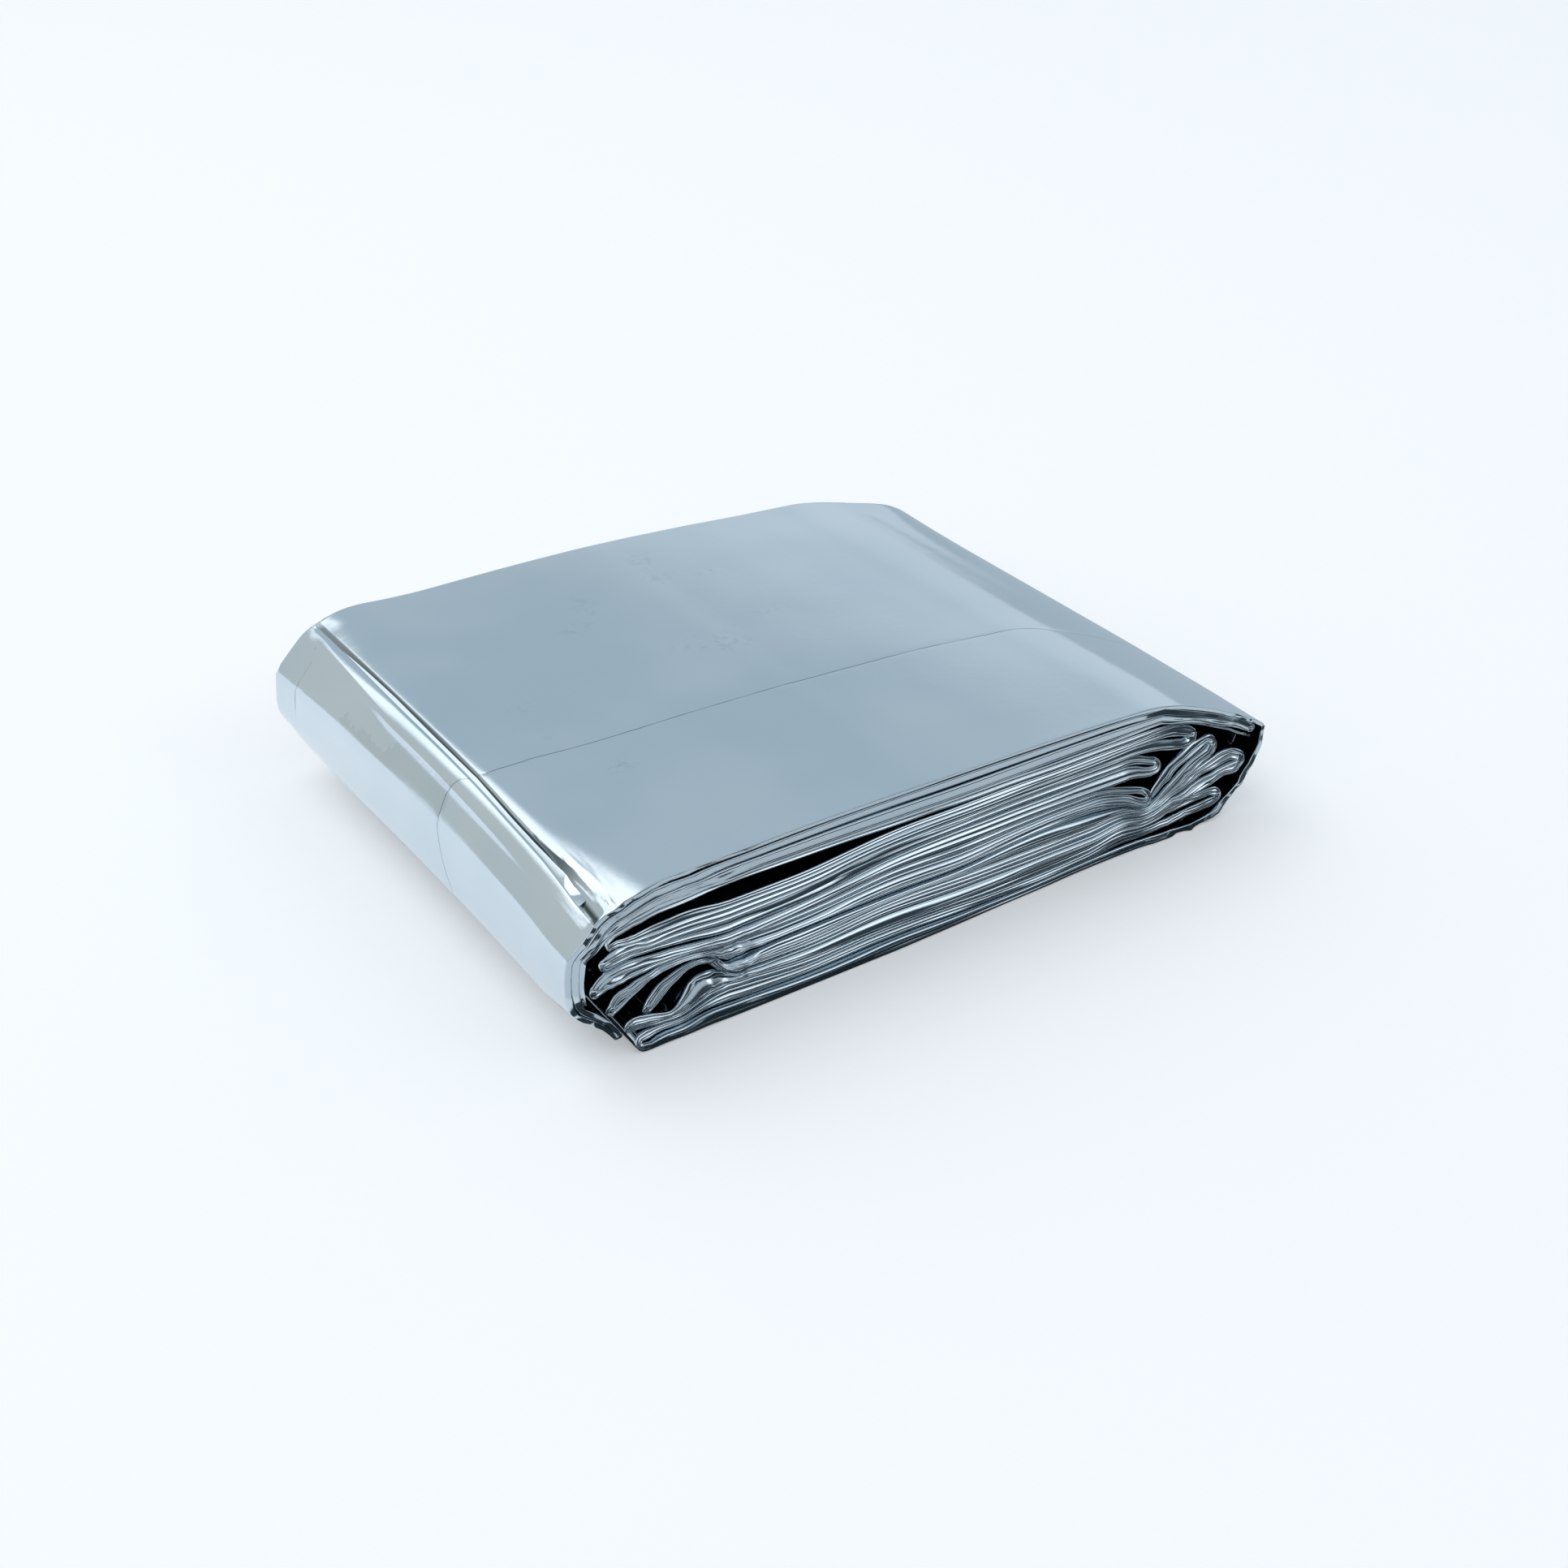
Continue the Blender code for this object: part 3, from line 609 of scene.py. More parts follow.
def build_film():
    line, outer_from, outer_to = the_path()
    P = np.array(line, float)
    X, Z, H, ROWS = P[:, 0], P[:, 1], P[:, 2].copy(), P[:, 3].astype(int)
    n = len(P)
    i = np.arange(n)
    ahead, behind = np.minimum(i + 1, n - 1), np.maximum(i - 1, 0)
    T = P[ahead, :2] - P[behind, :2]
    T /= np.hypot(T[:, 0], T[:, 1])[:, None]
    NX, NZ = -T[:, 1], T[:, 0]
    S = np.concatenate([[0.0], np.cumsum(np.hypot(*(P[1:, :2] - P[:-1, :2]).T))])
    H = eased(H, 1)
    columns = {key: eased([BANDS[r][k] for r in ROWS], 3) for key, k in (
        ("front", 10), ("back", 11), ("a", 12), ("a_deep", 13), ("b", 14), ("b_deep", 15))}
    tilts = np.array([BANDS[r][7:10] for r in ROWS])
    H = H * (1 + 0.04 * noise(S / 19.0, 0.5, 21))

    # the outer face's own coordinate
    ox, oz = X - NX * H, Z - NZ * H
    o = slice(outer_from, outer_to)
    run = np.concatenate([[0.0], np.cumsum(np.hypot(np.diff(ox[o]), np.diff(oz[o])))])
    corner = int(np.argmin(np.hypot(ox[o] + 57.0, oz[o] - 23.4)))
    sigma = run[corner] - run

    # the front edge
    wander = 0.20 * noise(S / 27.0, 0.5, 31) + 0.06 * noise(S / 9.5, 0.5, 32)
    low = (ROWS == ROW["B1"]) | ((ROWS == ROW["T1"]) & (Z < 2.0))
    tucked = eased(np.where(low, -1.3 + 1.2 * ramp(X, -20.0, 30.0), 0.0), 5)
    outer = np.zeros(n)
    outer[o] = 1.0
    wander *= 1 - 0.6 * eased(outer, 6)
    y0 = -HALF + 0.25 + columns["front"] + wander + tucked
    top = eased(ROWS <= ROW["T3"], 3)                    # the flatter edges over the air space
    deep = np.clip(H * 0.85, 0.14, 0.70) * (1 - 0.35 * top)
    power = 5.4 + 3.0 * top
    a = np.clip(columns["a"] + 0.12 * noise(S / 29.0, 0.5, 34), -0.65, 0.0)
    b = np.clip(columns["b"] + 0.12 * noise(S / 26.0, 0.5, 35), 0.15, 0.70)
    a_deep = columns["a_deep"] * (1 + 0.8 * noise(S / 19.0, 0.5, 36)) * np.clip(H / 0.5, 0.2, 1.2)
    b_deep = columns["b_deep"] * (1 + 0.8 * noise(S / 21.0, 0.5, 37)) * np.clip(H / 0.5, 0.2, 1.2)
    up = np.sign(NZ) * np.abs(NZ) ** 0.5
    wrap = eased((ROWS <= ROW["T3"]) & (X < -50.0), 3)
    V, Y = [], []
    lobes = ((-1.0, a, 0.0, a_deep), (a, b, a_deep, b_deep), (b, 1.0, b_deep, 0.0))
    leans = []
    below = eased((ROWS <= ROW["T3"]) & (X > 40.0) & (NZ > 0), 3)      # under the pointed end
    ends = eased((ROWS > ROW["T4"]) & ((X > 37.0) | (X < -47.0)), 3)    # the noses
    for part in range(3):
        lean = eased(np.where(NZ > 0, tilts[:, 2 - part], tilts[:, part]), 3)
        lean = (lean + (0.50 - lean) * below) * (1 - 0.20 * ends)
        loose = 0.06 - 0.045 * top
        leans.append((lean * (1 + 0.16 * noise(S / 31.0, 0.5, 60 + part)) + loose * noise(S / 12.0, 0.5, 64 + part)) * up)
    for part, (start, end, deep_start, deep_end) in enumerate(lobes):
        for k in range(LOBE + (part == 2)):
            t = (1 - math.cos(math.pi * k / LOBE)) / 2
            v = start + (end - start) * t
            v = v + np.zeros(n)
            y = y0 + deep * (1 - (1 - np.abs(v) ** power) ** (1 / power))
            y = y + deep_start * (1 - t) ** 3 + deep_end * t**3
            slant = leans[1] * (v - (a + b) / 2) + (leans[0] - leans[1]) * np.minimum(v - a, 0) + (leans[2] - leans[1]) * np.maximum(v - b, 0)
            y = y + slant * H - 0.022 * np.clip(H, 0, 0.6) * math.sin(math.pi * t) * (1 - top)
            y = y - 0.55 * v * NX**3 * H * ramp(-X, 55.0, 61.0) * wrap
            V.append(v)
            Y.append(y)
    front_count = len(V)
    for share in SIDE:
        V.append(np.ones(n))
        Y.append(np.full(n, share * HALF))
    y1 = HALF - columns["back"] * 0.6 - 0.35 + 0.25 * noise(S / 20.0, 0.5, 41) + 0.10 * noise(S / 6.0, 0.5, 42)
    split = np.clip(0.1 + 0.4 * noise(S / 30.0, 0.5, 43), -0.4, 0.5)
    for start, end, slit in ((1.0, split, 1), (split, -1.0, -1)):
        for k in range(BACK_LOBE + (slit < 0)):
            t = (1 - math.cos(math.pi * k / BACK_LOBE)) / 2
            v = start + (end - start) * t + np.zeros(n)
            into = t if slit > 0 else 1 - t
            y = y1 - deep * (1 - (1 - np.abs(v) ** 2.2) ** (1 / 2.2)) - 2.6 * np.clip(H, 0.1, 0.9) * into**7
            V.append(v)
            Y.append(y)
    skin_count = len(V)
    for share in SIDE[::-1]:
        V.append(-np.ones(n))
        Y.append(np.full(n, share * HALF))
    V, Y = np.array(V).T, np.array(Y).T                # stations x loop
    verts = [np.stack([X[:, None] + NX[:, None] * V * H[:, None], Y, Z[:, None] + NZ[:, None] * V * H[:, None]], 2)]
    loop = V.shape[1]
    ids = np.arange(n * loop).reshape(n, loop)
    faces = []

    # the fine grid over the outer face, from the back edge to the front edge
    def place(u, v):
        """A point over the outer stations: sigma, and how far out (-1 is the face)."""
        q = [np.interp(u, sigma[::-1], w[o][::-1]) for w in (X, Z, NX, NZ, H)]
        return q[0] + q[2] * v * q[4], q[1] + q[3] * v * q[4], q[2], q[3]

    ys, ye = Y[o, skin_count - 1], Y[o, 0]
    for k in range(front_count + len(SIDE), skin_count):       # the back edge follows the lines too
        to = followed(sigma, np.full(outer_to - outer_from, HALF))
        px, pz, _, _ = place(sigma + (to - sigma) * (1 - V[o, k]) / 2, V[o, k])
        verts[0][o, k, 0], verts[0][o, k, 2] = px, pz
    crease = line_y(MID_CREASE, sigma)
    near = np.array(OUTER_NEAR)
    m = outer_to - outer_from
    parts = [ys[:, None] - near[None, ::1] * 1.0]
    mids_back = np.linspace(0, 1, 34)[None, :]
    back_start, back_end = ys - 7.9, crease + CREASE_NEAR[-1] + 1.2
    parts.append(back_start[:, None] + (back_end - back_start)[:, None] * mids_back)
    parts.append(crease[:, None] + np.array(CREASE_NEAR)[None, ::-1])
    mids_front = np.linspace(0, 1, 24)[None, :]
    front_start, front_end = crease + CREASE_NEAR[0] - 1.1, ye + 7.9
    parts.append(front_start[:, None] + (front_end - front_start)[:, None] * mids_front)
    parts.append(ye[:, None] + near[None, ::-1])
    G = np.concatenate(parts, 1)
    cols = G.shape[1]
    u0 = sigma.copy()
    for at in LINES_AT[1:4]:
        u0[int(np.argmin(np.abs(u0 - at)))] = at               # one row on each line
    U = followed(np.repeat(u0[:, None], cols, 1), G)
    broad, D = outer_detail(U, G)
    rim = np.minimum(G - ye[:, None], ys[:, None] - G)
    ends = np.minimum(ramp(np.arange(m), 0, 6), ramp(m - 1 - np.arange(m), 0, 6))[:, None]
    D = (broad * ramp(rim, -0.1, 13.0) + D * ramp(rim, -0.1, 1.6)) * ends
    gx, gz, gnx, gnz = place(U, -1.0)
    verts.append(np.stack([gx - gnx * D, G, gz - gnz * D], 2))
    grid = n * loop + np.arange(m * cols).reshape(m, cols)

    # faces of the loops
    for k in range(loop):
        k2 = (k + 1) % loop
        lo, hi = ids[:-1, k], ids[:-1, k2]
        quad = np.stack([lo, ids[1:, k], ids[1:, k2], hi], 1)
        if k >= skin_count - 1:                          # the -N side gives way to the fine grid
            keep = np.ones(n - 1, bool)
            keep[outer_from - 1: outer_to] = False
            quad = quad[keep]
        faces.append(quad)
    full = np.concatenate([ids[o, skin_count - 1][:, None], grid, ids[o, 0][:, None]], 1)
    faces.append(np.stack([full[:-1, :-1], full[1:, :-1], full[1:, 1:], full[:-1, 1:]], -1).reshape(-1, 4))
    triangles = []

    def zip_rows(coarse, fine, flip):
        """Triangles between two rows of vertices with the same ends."""
        i = j = 0
        pos = np.concatenate([v.reshape(-1, 3) for v in verts])
        while i < len(coarse) - 1 or j < len(fine) - 1:
            ahead_c = abs(pos[coarse[i + 1], 1] - pos[fine[j], 1]) if i < len(coarse) - 1 else 1e9
            ahead_f = abs(pos[fine[j + 1], 1] - pos[coarse[i], 1]) if j < len(fine) - 1 else 1e9
            if ahead_c < ahead_f:
                tri = (coarse[i], fine[j], coarse[i + 1])
                i += 1
            else:
                tri = (coarse[i], fine[j], fine[j + 1])
                j += 1
            triangles.append(tri[::-1] if flip else tri)

    before, after = outer_from - 1, outer_to
    side = list(range(skin_count - 1, loop)) + [0]
    zip_rows([int(ids[before, k]) for k in side], [int(v) for v in full[0]], False)
    zip_rows([int(ids[after, k]) for k in side], [int(v) for v in full[-1]], True)
    # the path's two ends are closed by a fan over each loop
    caps = []
    for station, flip in ((0, True), (n - 1, False)):
        ring = [int(v) for v in ids[station]]
        mid = len(ring) // 2
        top, bottom = ring[:mid + 1], [ring[0]] + ring[mid:][::-1]
        caps.append((top, bottom, flip))
    for top, bottom, flip in caps:
        start = len(triangles)
        zip_rows(top, bottom, flip)

    # the plies nested inside each bundle, a folded pair at a time
    curl = np.abs(np.diff(np.unwrap(np.arctan2(T[:, 1], T[:, 0])), prepend=0.0))
    curl[0] = 0.0
    k = [0]
    for q in range(1, n):
        if q == n - 1 or S[q] - S[k[-1]] > 4.5 or curl[k[-1] + 1: q + 1].sum() > 0.30:
            k.append(q)
    k = np.array(k)
    for pair in range(1, LEAF_PAIRS + 1):
        share = 0.94 * (1 - pair / (LEAF_PAIRS + 1))
        at_front = (y0 + np.maximum(a_deep, b_deep) + deep)[k] + 4.5 + 0.15 * pair
        rows = [(share, np.full(len(k), s * HALF)) for s in LEAF_SIDE[::-1]] + [(share, at_front + 0.12)]
        rows += [(0.0, at_front)] + [(-v, y) for v, y in rows[::-1]]
        lv = np.array([v for v, _ in rows])[None, :] * np.ones((len(k), 1))
        lv = np.where(outer[k][:, None] > 0, 0.575 * lv + 0.28, lv)     # clear of the dents in the outer face
        ly = np.array([y for _, y in rows]).T
        base = sum(v.reshape(-1, 3).shape[0] for v in verts)
        verts.append(np.stack([X[k][:, None] + NX[k][:, None] * lv * H[k][:, None], ly, Z[k][:, None] + NZ[k][:, None] * lv * H[k][:, None]], 2))
        g = base + np.arange(lv.size).reshape(lv.shape)
        faces.append(np.stack([g[:-1, :-1], g[1:, :-1], g[1:, 1:], g[:-1, 1:]], -1).reshape(-1, 4))

    # what the material needs to know about the outer face: sigma, the distances from its two long creases and from the
    # darker patch's edge, the smudges, and how much painted shade goes where the top film turns under the strip
    grid_u, grid_y = full_columns(u0, U), full_columns(ys, G, ye)
    count = sum(v.reshape(-1, 3).shape[0] for v in verts)
    marks = {name: np.full(count, 99.0) for name in ("off_mid", "off_back", "off_patch")}
    marks["smudge"], marks["tucked"] = np.zeros(count), np.zeros(count)
    smudge = sum(np.exp(-((grid_u - cu) / ru) ** 2 - ((grid_y - cy) / ry) ** 2) for cu, cy, ru, ry in SMUDGES)
    edge_y = np.interp(-grid_y, [-q for _, q in PATCH_EDGE], [q for q, _ in PATCH_EDGE])
    for name, value in (
        ("off_mid", grid_y - line_y(MID_CREASE, grid_u)),
        ("off_back", np.abs(grid_y - line_y(BACK_CREASE, grid_u)) + 3.0 * ramp(grid_u, 12.0, 40.0)),
        ("off_patch", np.where((grid_y < 27.0) & (grid_y > -8.5) & (grid_u > -7.3), edge_y - grid_u, -9.0)),
        ("smudge", smudge),
        ("tucked", painted_tuck_shade(grid_u, grid_y)),
    ):
        marks[name][full.reshape(-1)] = np.clip(value, -99, 99).reshape(-1)

    pos = np.concatenate([v.reshape(-1, 3) for v in verts])
    pos = crumpled(pos)
    x, z = shifted(pos[:, 0], pos[:, 2], np.clip(pos[:, 1] / HALF, -1, 1))
    pos = np.stack([x, pos[:, 1], np.maximum(z, 0.0)], 1)
    quads = np.concatenate(faces)
    return pos * MM, quads, np.array(triangles, int), marks


def full_columns(first, middle, last=None):
    """A grid with its first and last column put on."""
    last = first if last is None else last
    return np.concatenate([first[:, None], middle, last[:, None]], 1)


def crumpled(pos):
    """The knot of small crumples low on the front, and a looser crush at the noses."""
    x, y, z = pos.T.copy()
    front = np.exp(-np.maximum(0.0, y + HALF - 0.5) / 3.5)
    knot = np.exp(-(((x + 38.0) / 5.2) ** 2) - (((z - 8.2) / 3.8) ** 2))
    noses_left = ramp(-x, 44.0, 54.0) * (1 - ramp(z, 19.5, 21.5)) * (1 - ramp(-x, 59.3, 60.3))
    noses_right = ramp(x, 37.0, 46.0) * (1 - ramp(z - 0.02 * x, 17.0, 18.5)) * (1 - ramp(x, 59.6, 60.8))
    rough = np.clip(knot * 1.0 + 0.42 * noses_left + 0.42 * noses_right, 0, 1) * front
    wide = front * (1 - ramp(z, 21.0, 22.0)) * 0.09
    corner = front * ramp(z, 20.5, 22.0) * ramp(-x, 26.0, 44.0) * (1 - ramp(z, 25.6, 26.2))
    dx = rough * 0.38 * noise(x / 1.9, z / 1.5, 51)
    dz = rough * (0.30 * noise(x / 2.3 + 7, z / 1.9, 52) + 0.10 * noise(x / 0.9, z / 0.8, 53)) + wide * noise(x / 11.0, z / 2.8, 54)
    dy = rough * (0.85 * noise(x / 2.1, z / 1.3 + 3, 55) + 0.30 * noise(x / 0.9, z / 0.7, 56)) + wide * 1.4 * noise(x / 9.0, z / 1.1, 57) + corner * 0.16 * noise(x / 2.6 + z / 1.7, z / 2.2, 58)
    floor_keep = ramp(z, 0.0, 1.2)
    return np.stack([x + dx, np.maximum(y + dy, -HALF - 0.45), z + dz * floor_keep], 1)


def new_mesh(name, pos, quads, triangles, marks):
    mesh = bpy.data.meshes.new(name)
    counts = np.concatenate([np.full(len(quads), 4), np.full(len(triangles), 3)]).astype(np.int32)
    corners = np.concatenate([quads.reshape(-1), triangles.reshape(-1)]).astype(np.int32)
    mesh.vertices.add(len(pos))
    mesh.vertices.foreach_set("co", pos.astype(np.float32).reshape(-1))
    mesh.loops.add(len(corners))
    mesh.loops.foreach_set("vertex_index", corners)
    mesh.polygons.add(len(counts))
    mesh.polygons.foreach_set("loop_start", np.concatenate([[0], np.cumsum(counts)[:-1]]).astype(np.int32))
    mesh.update(calc_edges=True)
    mesh.validate()
    for key, values in marks.items():
        mesh.attributes.new(key, "FLOAT", "POINT").data.foreach_set("value", values.astype(np.float32))
    mesh.polygons.foreach_set("use_smooth", np.ones(len(mesh.polygons), bool))
    mesh.update()
    obj = bpy.data.objects.new(name, mesh)
    bpy.context.scene.collection.objects.link(obj)
    return obj


# ---- materials --------------------------------------------------------------------
def film_material():
    mat = bpy.data.materials.new("silver_film")
    mat.use_nodes = True
    nt = mat.node_tree
    nt.nodes.clear()
    new, link = nt.nodes.new, nt.links.new
    out = new("ShaderNodeOutputMaterial")
    bsdf = new("ShaderNodeBsdfPrincipled")
    link(bsdf.outputs[0], out.inputs[0])
    bsdf.inputs["Metallic"].default_value = 1.0
    coord = new("ShaderNodeTexCoord")

    def noise_at(scale, detail=2.0, rough=0.5):
        node = new("ShaderNodeTexNoise")
        node.inputs["Scale"].default_value = scale
        node.inputs["Detail"].default_value = detail
        node.inputs["Roughness"].default_value = rough
        link(coord.outputs["Object"], node.inputs["Vector"])
        return node.outputs["Fac"]

    def spread(value, lo, hi, to_lo, to_hi):
        node = new("ShaderNodeMapRange")
        node.interpolation_type = "SMOOTHSTEP"
        for k, v in (("From Min", lo), ("From Max", hi), ("To Min", to_lo), ("To Max", to_hi)):
            node.inputs[k].default_value = v
        link(value, node.inputs["Value"])
        return node.outputs["Result"]

    def mark(name):
        node = new("ShaderNodeAttribute")
        node.attribute_name = name
        return node.outputs["Fac"]

    def math_node(kind, a, b):
        node = new("ShaderNodeMath")
        node.operation = kind
        for k, v in enumerate((a, b)):
            if isinstance(v, (int, float)):
                node.inputs[k].default_value = v
            else:
                link(v, node.inputs[k])
        return node.outputs[0]

    def blend(factor, a, b):
        node = new("ShaderNodeMix")
        node.data_type = "RGBA"
        link(factor, node.inputs["Factor"])
        for key, v in (("A", a), ("B", b)):
            if isinstance(v, tuple):
                node.inputs[key].default_value = v
            else:
                link(v, node.inputs[key])
        return node.outputs["Result"]

    # the tint wanders a little
    colour = blend(spread(noise_at(28.0), 0.35, 0.65, 0.0, 1.0), (0.60, 0.695, 0.765, 1), (0.66, 0.745, 0.805, 1))
    # a darker patch on the facet, with a ragged edge
    ragged = math_node("ADD", mark("off_patch"), spread(noise_at(420.0, 4.0, 0.7), 0.3, 0.7, -0.75, 0.75))
    patch = spread(ragged, -0.05, 0.05, 0.0, 0.22)
    colour = blend(patch, colour, (0.40, 0.47, 0.50, 1))
    # dark lines painted along the creases: the film's crease marks, darkened in colour as painted shade in the folds
    painted_crease_shade = spread(math_node("ABSOLUTE", mark("off_mid"), 0.0), 0.05, 0.17, 1.0, 0.0)
    painted_crease_shade = math_node("MULTIPLY", painted_crease_shade, spread(noise_at(160.0, 2.0), 0.3, 0.6, 0.35, 0.75))
    colour = blend(painted_crease_shade, colour, (0.13, 0.20, 0.26, 1))
    # painted shade along the back crease as well, darker in colour
    far = spread(mark("off_back"), 0.06, 0.26, 0.8, 0.0)
    colour = blend(math_node("MULTIPLY", far, spread(noise_at(300.0, 2.0), 0.4, 0.6, 0.2, 1.0)), colour, (0.18, 0.26, 0.30, 1))
    # faint finger marks on the top
    dull = math_node("MULTIPLY", mark("smudge"), spread(noise_at(700.0, 4.0, 0.65), 0.48, 0.62, 0.0, 1.0))
    colour = blend(math_node("MULTIPLY", dull, 0.32), colour, (0.36, 0.44, 0.52, 1))
    # painted shade: the slit beside the strip and the wedge where the top film turns under it, darkened in colour
    colour = blend(math_node("MULTIPLY", mark("tucked"), 0.93), colour, (0.030, 0.055, 0.055, 1))
    link(colour, bsdf.inputs["Base Color"])
    rough = math_node("ADD", spread(noise_at(40.0, 3.0), 0.35, 0.7, 0.10, 0.14), math_node("MULTIPLY", dull, 0.12))
    link(rough, bsdf.inputs["Roughness"])
    # fine film texture: tiny wrinkles and a soft ripple
    bump = new("ShaderNodeBump")
    bump.inputs["Strength"].default_value = 0.12
    bump.inputs["Distance"].default_value = 0.00012
    height = new("ShaderNodeMath")
    height.operation = "ADD"
    link(noise_at(260.0, 3.0, 0.55), height.inputs[0])
    link(spread(noise_at(900.0, 2.0), 0.3, 0.7, 0.0, 0.15), height.inputs[1])
    link(height.outputs[0], bump.inputs["Height"])
    link(bump.outputs["Normal"], bsdf.inputs["Normal"])
    return mat


def floor_material():
    mat = bpy.data.materials.new("pale_floor")
    mat.use_nodes = True
    bsdf = mat.node_tree.nodes["Principled BSDF"]
    bsdf.inputs["Base Color"].default_value = (0.90, 0.905, 0.91, 1)
    bsdf.inputs["Roughness"].default_value = 0.9
    bsdf.inputs["Specular IOR Level"].default_value = 0.1
    bsdf.inputs["Emission Color"].default_value = (1, 1, 1, 1)
    bsdf.inputs["Emission Strength"].default_value = 0.25
    return mat


# ---- light ------------------------------------------------------------------------
# Soft boxes round the object: a direction, the angles where each is full and gone,
# and its brightness.
SKY = (0.58, 0.64, 0.69)
SOFT_BOXES = (
    # name             x       y      z     full  gone   r     g     b
    ("over",           0.00,  0.00,  1.00,  10.0, 60.0, 0.50, 0.56, 0.61),
    ("back right",     0.48,  0.71,  0.52,  17.0, 34.0, 0.51, 0.59, 0.65),
    ("right wall",     0.70,  0.71,  0.06,  10.0, 26.0, 0.67, 0.75, 0.81),
    ("back left",     -0.60,  0.71,  0.36,  18.0, 26.0, 0.63, 0.66, 0.65),
    ("key",           -0.15,  0.71,  0.69,   8.0, 19.0, 1.40, 1.44, 1.46),
    ("front right",    0.48, -0.70,  0.53,   3.0, 18.0, 1.65, 1.72, 1.78),
    ("front left",    -0.80, -0.35,  0.50,   8.0, 30.0, 1.10, 1.14, 1.18),
)
# A dark band stands low round the front, as the dim part of a room does:
# elevation where it is full, where it is gone, and the height it starts to fade.
DIM_BAND = (14.0, 36.0)
DIM_COLOUR = (0.045, 0.060, 0.075)


def make_world():
    world = bpy.data.worlds.new("studio")
    bpy.context.scene.world = world
    world.use_nodes = True
    nt = world.node_tree
    nt.nodes.clear()
    new, link = nt.nodes.new, nt.links.new
    coord = new("ShaderNodeTexCoord")
    unit_dir = new("ShaderNodeVectorMath")
    unit_dir.operation = "NORMALIZE"
    link(coord.outputs["Generated"], unit_dir.inputs[0])
    colour = None
    for _, x, y, z, full, gone, r, g, b in SOFT_BOXES:
        s = math.sqrt(x * x + y * y + z * z)
        dot = new("ShaderNodeVectorMath")
        dot.operation = "DOT_PRODUCT"
        dot.inputs[1].default_value = (x / s, y / s, z / s)
        link(unit_dir.outputs[0], dot.inputs[0])
        rng = new("ShaderNodeMapRange")
        rng.interpolation_type = "SMOOTHSTEP"
        rng.inputs["From Min"].default_value = math.cos(math.radians(gone))
        rng.inputs["From Max"].default_value = math.cos(math.radians(full))
        link(dot.outputs["Value"], rng.inputs["Value"])
        mix = new("ShaderNodeMix")
        mix.data_type = "RGBA"
        mix.inputs["B"].default_value = (r, g, b, 1)
        if colour is None:
            mix.inputs["A"].default_value = (*SKY, 1)
        else:
            link(colour, mix.inputs["A"])
        link(rng.outputs["Result"], mix.inputs["Factor"])
        colour = mix.outputs["Result"]
    # the dim band: low elevations, only on the front half
    split = new("ShaderNodeSeparateXYZ")
    link(unit_dir.outputs[0], split.inputs[0])
    low = new("ShaderNodeMapRange")
    low.interpolation_type = "SMOOTHSTEP"
    low.inputs["From Min"].default_value = math.sin(math.radians(DIM_BAND[1]))
    low.inputs["From Max"].default_value = math.sin(math.radians(DIM_BAND[0]))
    link(split.outputs["Z"], low.inputs["Value"])
    ahead = new("ShaderNodeMapRange")
    ahead.interpolation_type = "SMOOTHSTEP"
    ahead.inputs["From Min"].default_value = -0.15
    ahead.inputs["From Max"].default_value = -0.55
    link(split.outputs["Y"], ahead.inputs["Value"])
    both = new("ShaderNodeMath")
    both.operation = "MULTIPLY"
    link(low.outputs["Result"], both.inputs[0])
    link(ahead.outputs["Result"], both.inputs[1])
    dim = new("ShaderNodeMix")
    dim.data_type = "RGBA"
    dim.inputs["B"].default_value = (*DIM_COLOUR, 1)
    link(colour, dim.inputs["A"])
    link(both.outputs[0], dim.inputs["Factor"])
    colour = dim.outputs["Result"]
    # seen past the floor's edge the room is plain and pale
    path = new("ShaderNodeLightPath")
    seen = new("ShaderNodeMix")
    seen.data_type = "RGBA"
    seen.inputs["B"].default_value = (1.0, 1.0, 1.0, 1)
    link(colour, seen.inputs["A"])
    link(path.outputs["Is Camera Ray"], seen.inputs["Factor"])
    back = new("ShaderNodeBackground")
    link(seen.outputs["Result"], back.inputs["Color"])
    out = new("ShaderNodeOutputWorld")
    link(back.outputs[0], out.inputs[0])


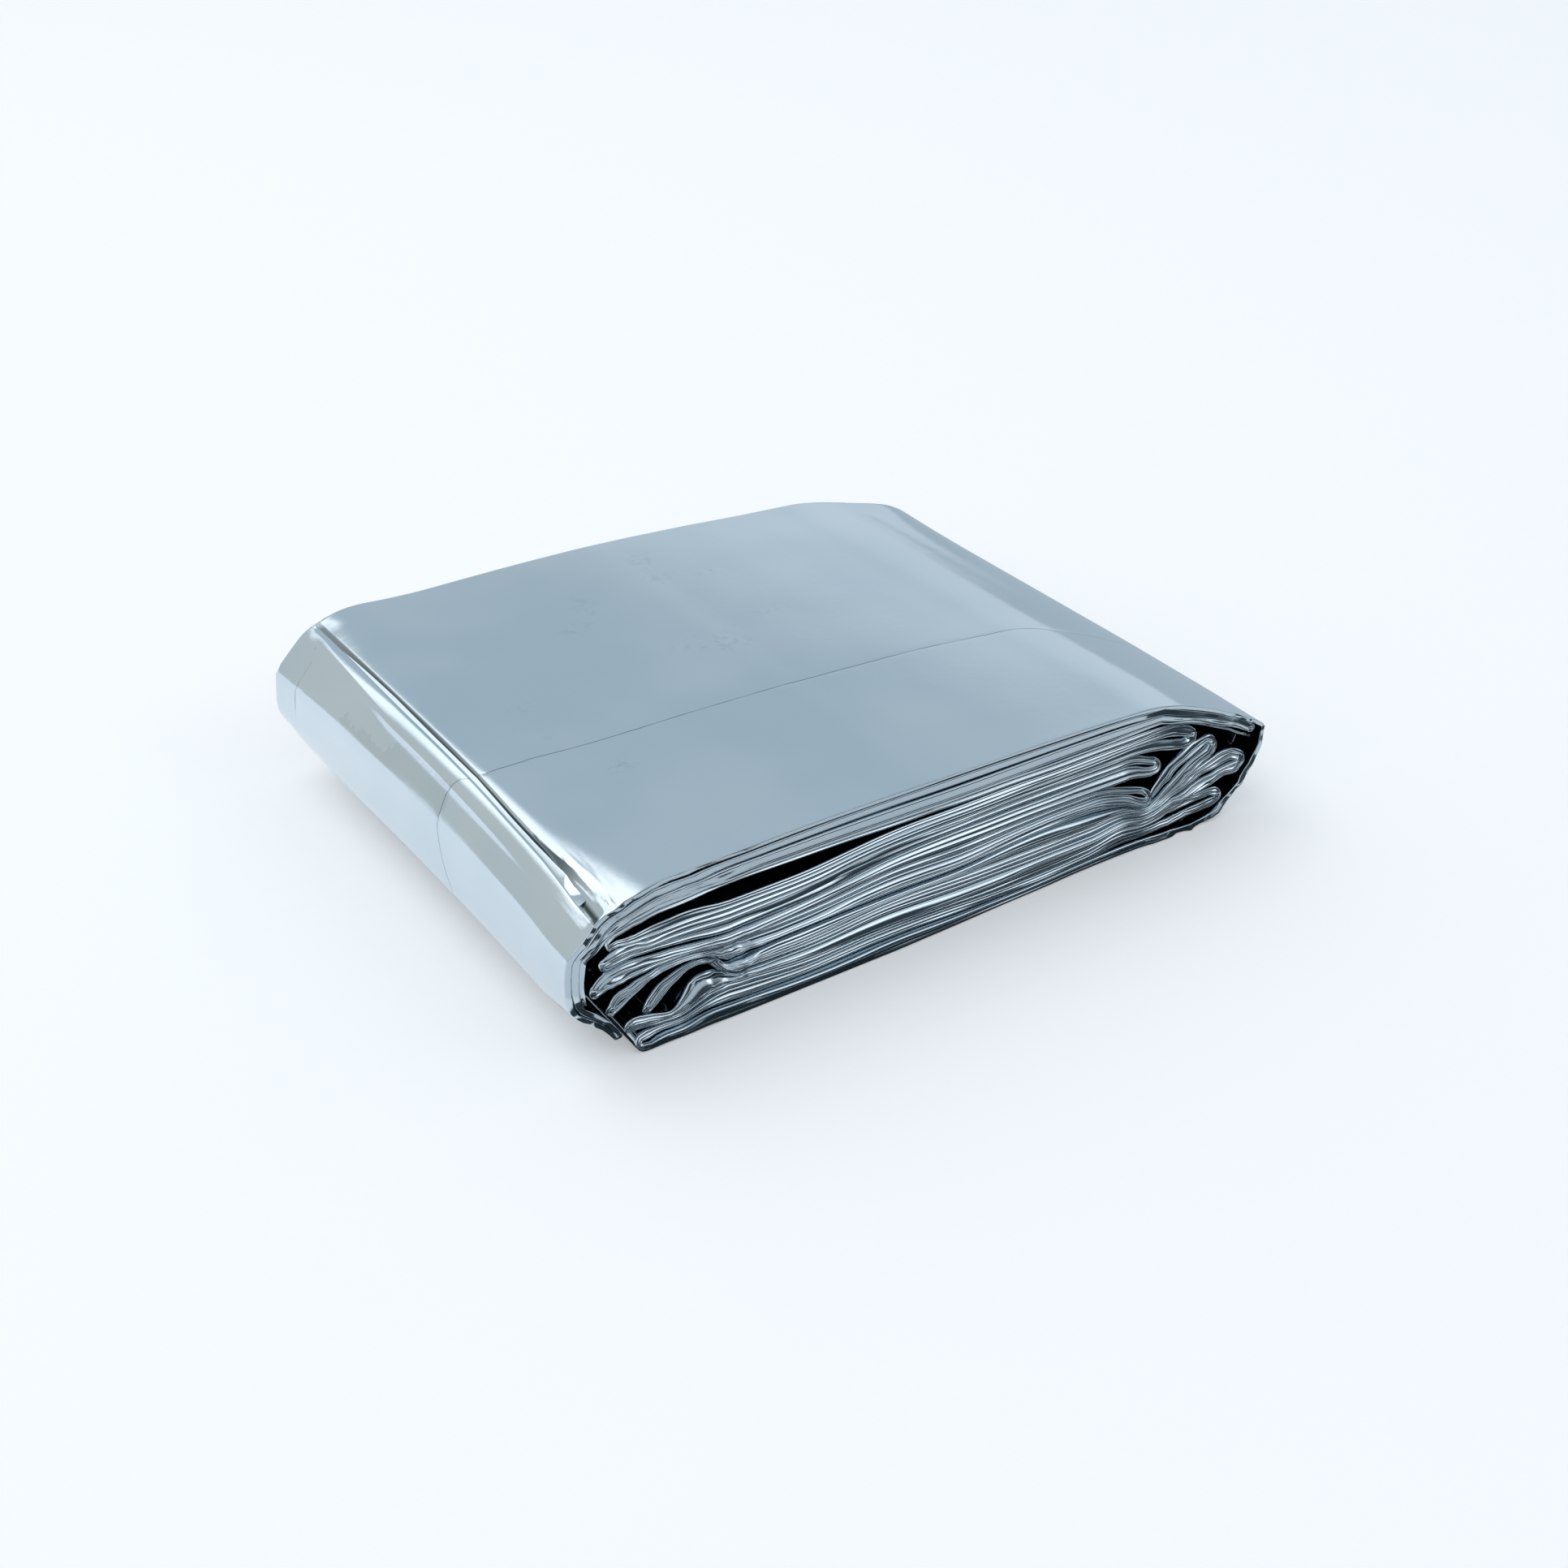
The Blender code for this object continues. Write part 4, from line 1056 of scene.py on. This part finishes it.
def make_stage():
    mesh = bpy.data.meshes.new("floor")
    r = 3.0
    mesh.from_pydata([(-r, -r, 0), (r, -r, 0), (r, r, 0), (-r, r, 0)], [], [(0, 1, 2, 3)])
    floor = bpy.data.objects.new("floor", mesh)
    bpy.context.scene.collection.objects.link(floor)
    floor.location.z = -0.0001
    mesh.materials.append(floor_material())
    # cards on the floor, which only the film's reflections see: a dark one under and in front of the packet, which is
    # painted shade on the floor there; a pale one lying on that close to the front edge; and a grey one behind the
    # packet on the right
    front = ((-0.066, -r), (r, -r), (r, -0.0515), (0.058, -0.0515), (0.058, 0.044), (-0.058, 0.044), (-0.058, -0.0515), (-0.066, -0.0515))
    right = ((0.072, -0.0515), (r, -0.0515), (r, r), (0.072, r))
    near = ((-0.100, -0.115), (-0.035, -0.115), (-0.035, -0.081), (0.110, -0.081), (0.110, -0.061), (-0.100, -0.061))
    for name, corners, faces, colour, level in (
        # painted shade: the floor's shadow under and in front of the packet, seen only in reflections
        ("dark_card", front, [(0, 1, 2, 3, 6, 7), (3, 4, 5, 6)], (0.045, 0.060, 0.070, 1), -0.00006),
        ("grey_card", right, [(0, 1, 2, 3)], (0.60, 0.67, 0.72, 1), -0.00006),
        ("pale_card", near, [(0, 1, 2, 5), (2, 3, 4, 5)], (0.95, 0.97, 0.98, 1), -0.00003),
    ):
        mesh = bpy.data.meshes.new(name)
        mesh.from_pydata([(x, y, 0) for x, y in corners], [], faces)
        card = bpy.data.objects.new(name, mesh)
        bpy.context.scene.collection.objects.link(card)
        card.location.z = level
        card.visible_camera = card.visible_shadow = card.visible_diffuse = card.visible_transmission = False
        mat = bpy.data.materials.new(name)
        mat.use_nodes = True
        bsdf = mat.node_tree.nodes["Principled BSDF"]
        bsdf.inputs["Base Color"].default_value = colour
        bsdf.inputs["Roughness"].default_value = 0.9
        bsdf.inputs["Specular IOR Level"].default_value = 0.0
        mesh.materials.append(mat)
    lamp = bpy.data.lights.new("soft_top", "AREA")
    lamp.shape = "DISK"
    lamp.size = 1.2
    lamp.energy = 4.0
    obj = bpy.data.objects.new("soft_top", lamp)
    bpy.context.scene.collection.objects.link(obj)
    obj.location = (-0.5, 0.4, 1.4)
    obj.rotation_euler = (math.radians(-16), math.radians(-19), 0)


def make_camera():
    data = bpy.data.cameras.new("camera")
    data.sensor_width = 36.0
    data.lens = LENS_MM
    data.clip_start, data.clip_end = 0.01, 20.0
    cam = bpy.data.objects.new("camera", data)
    bpy.context.scene.collection.objects.link(cam)
    cam.location = CAMERA_POS
    cam.rotation_euler = (math.radians(90 - CAMERA_EL), 0.0, math.radians(CAMERA_AZ))
    bpy.context.scene.camera = cam


make_camera()
make_world()
make_stage()
film = new_mesh("foil_film", *build_film())
film.data.materials.append(film_material())
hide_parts("foil_blanket")
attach(film, "root")

view = bpy.context.scene.view_settings
view.view_transform = "Standard"
view.look = "None"
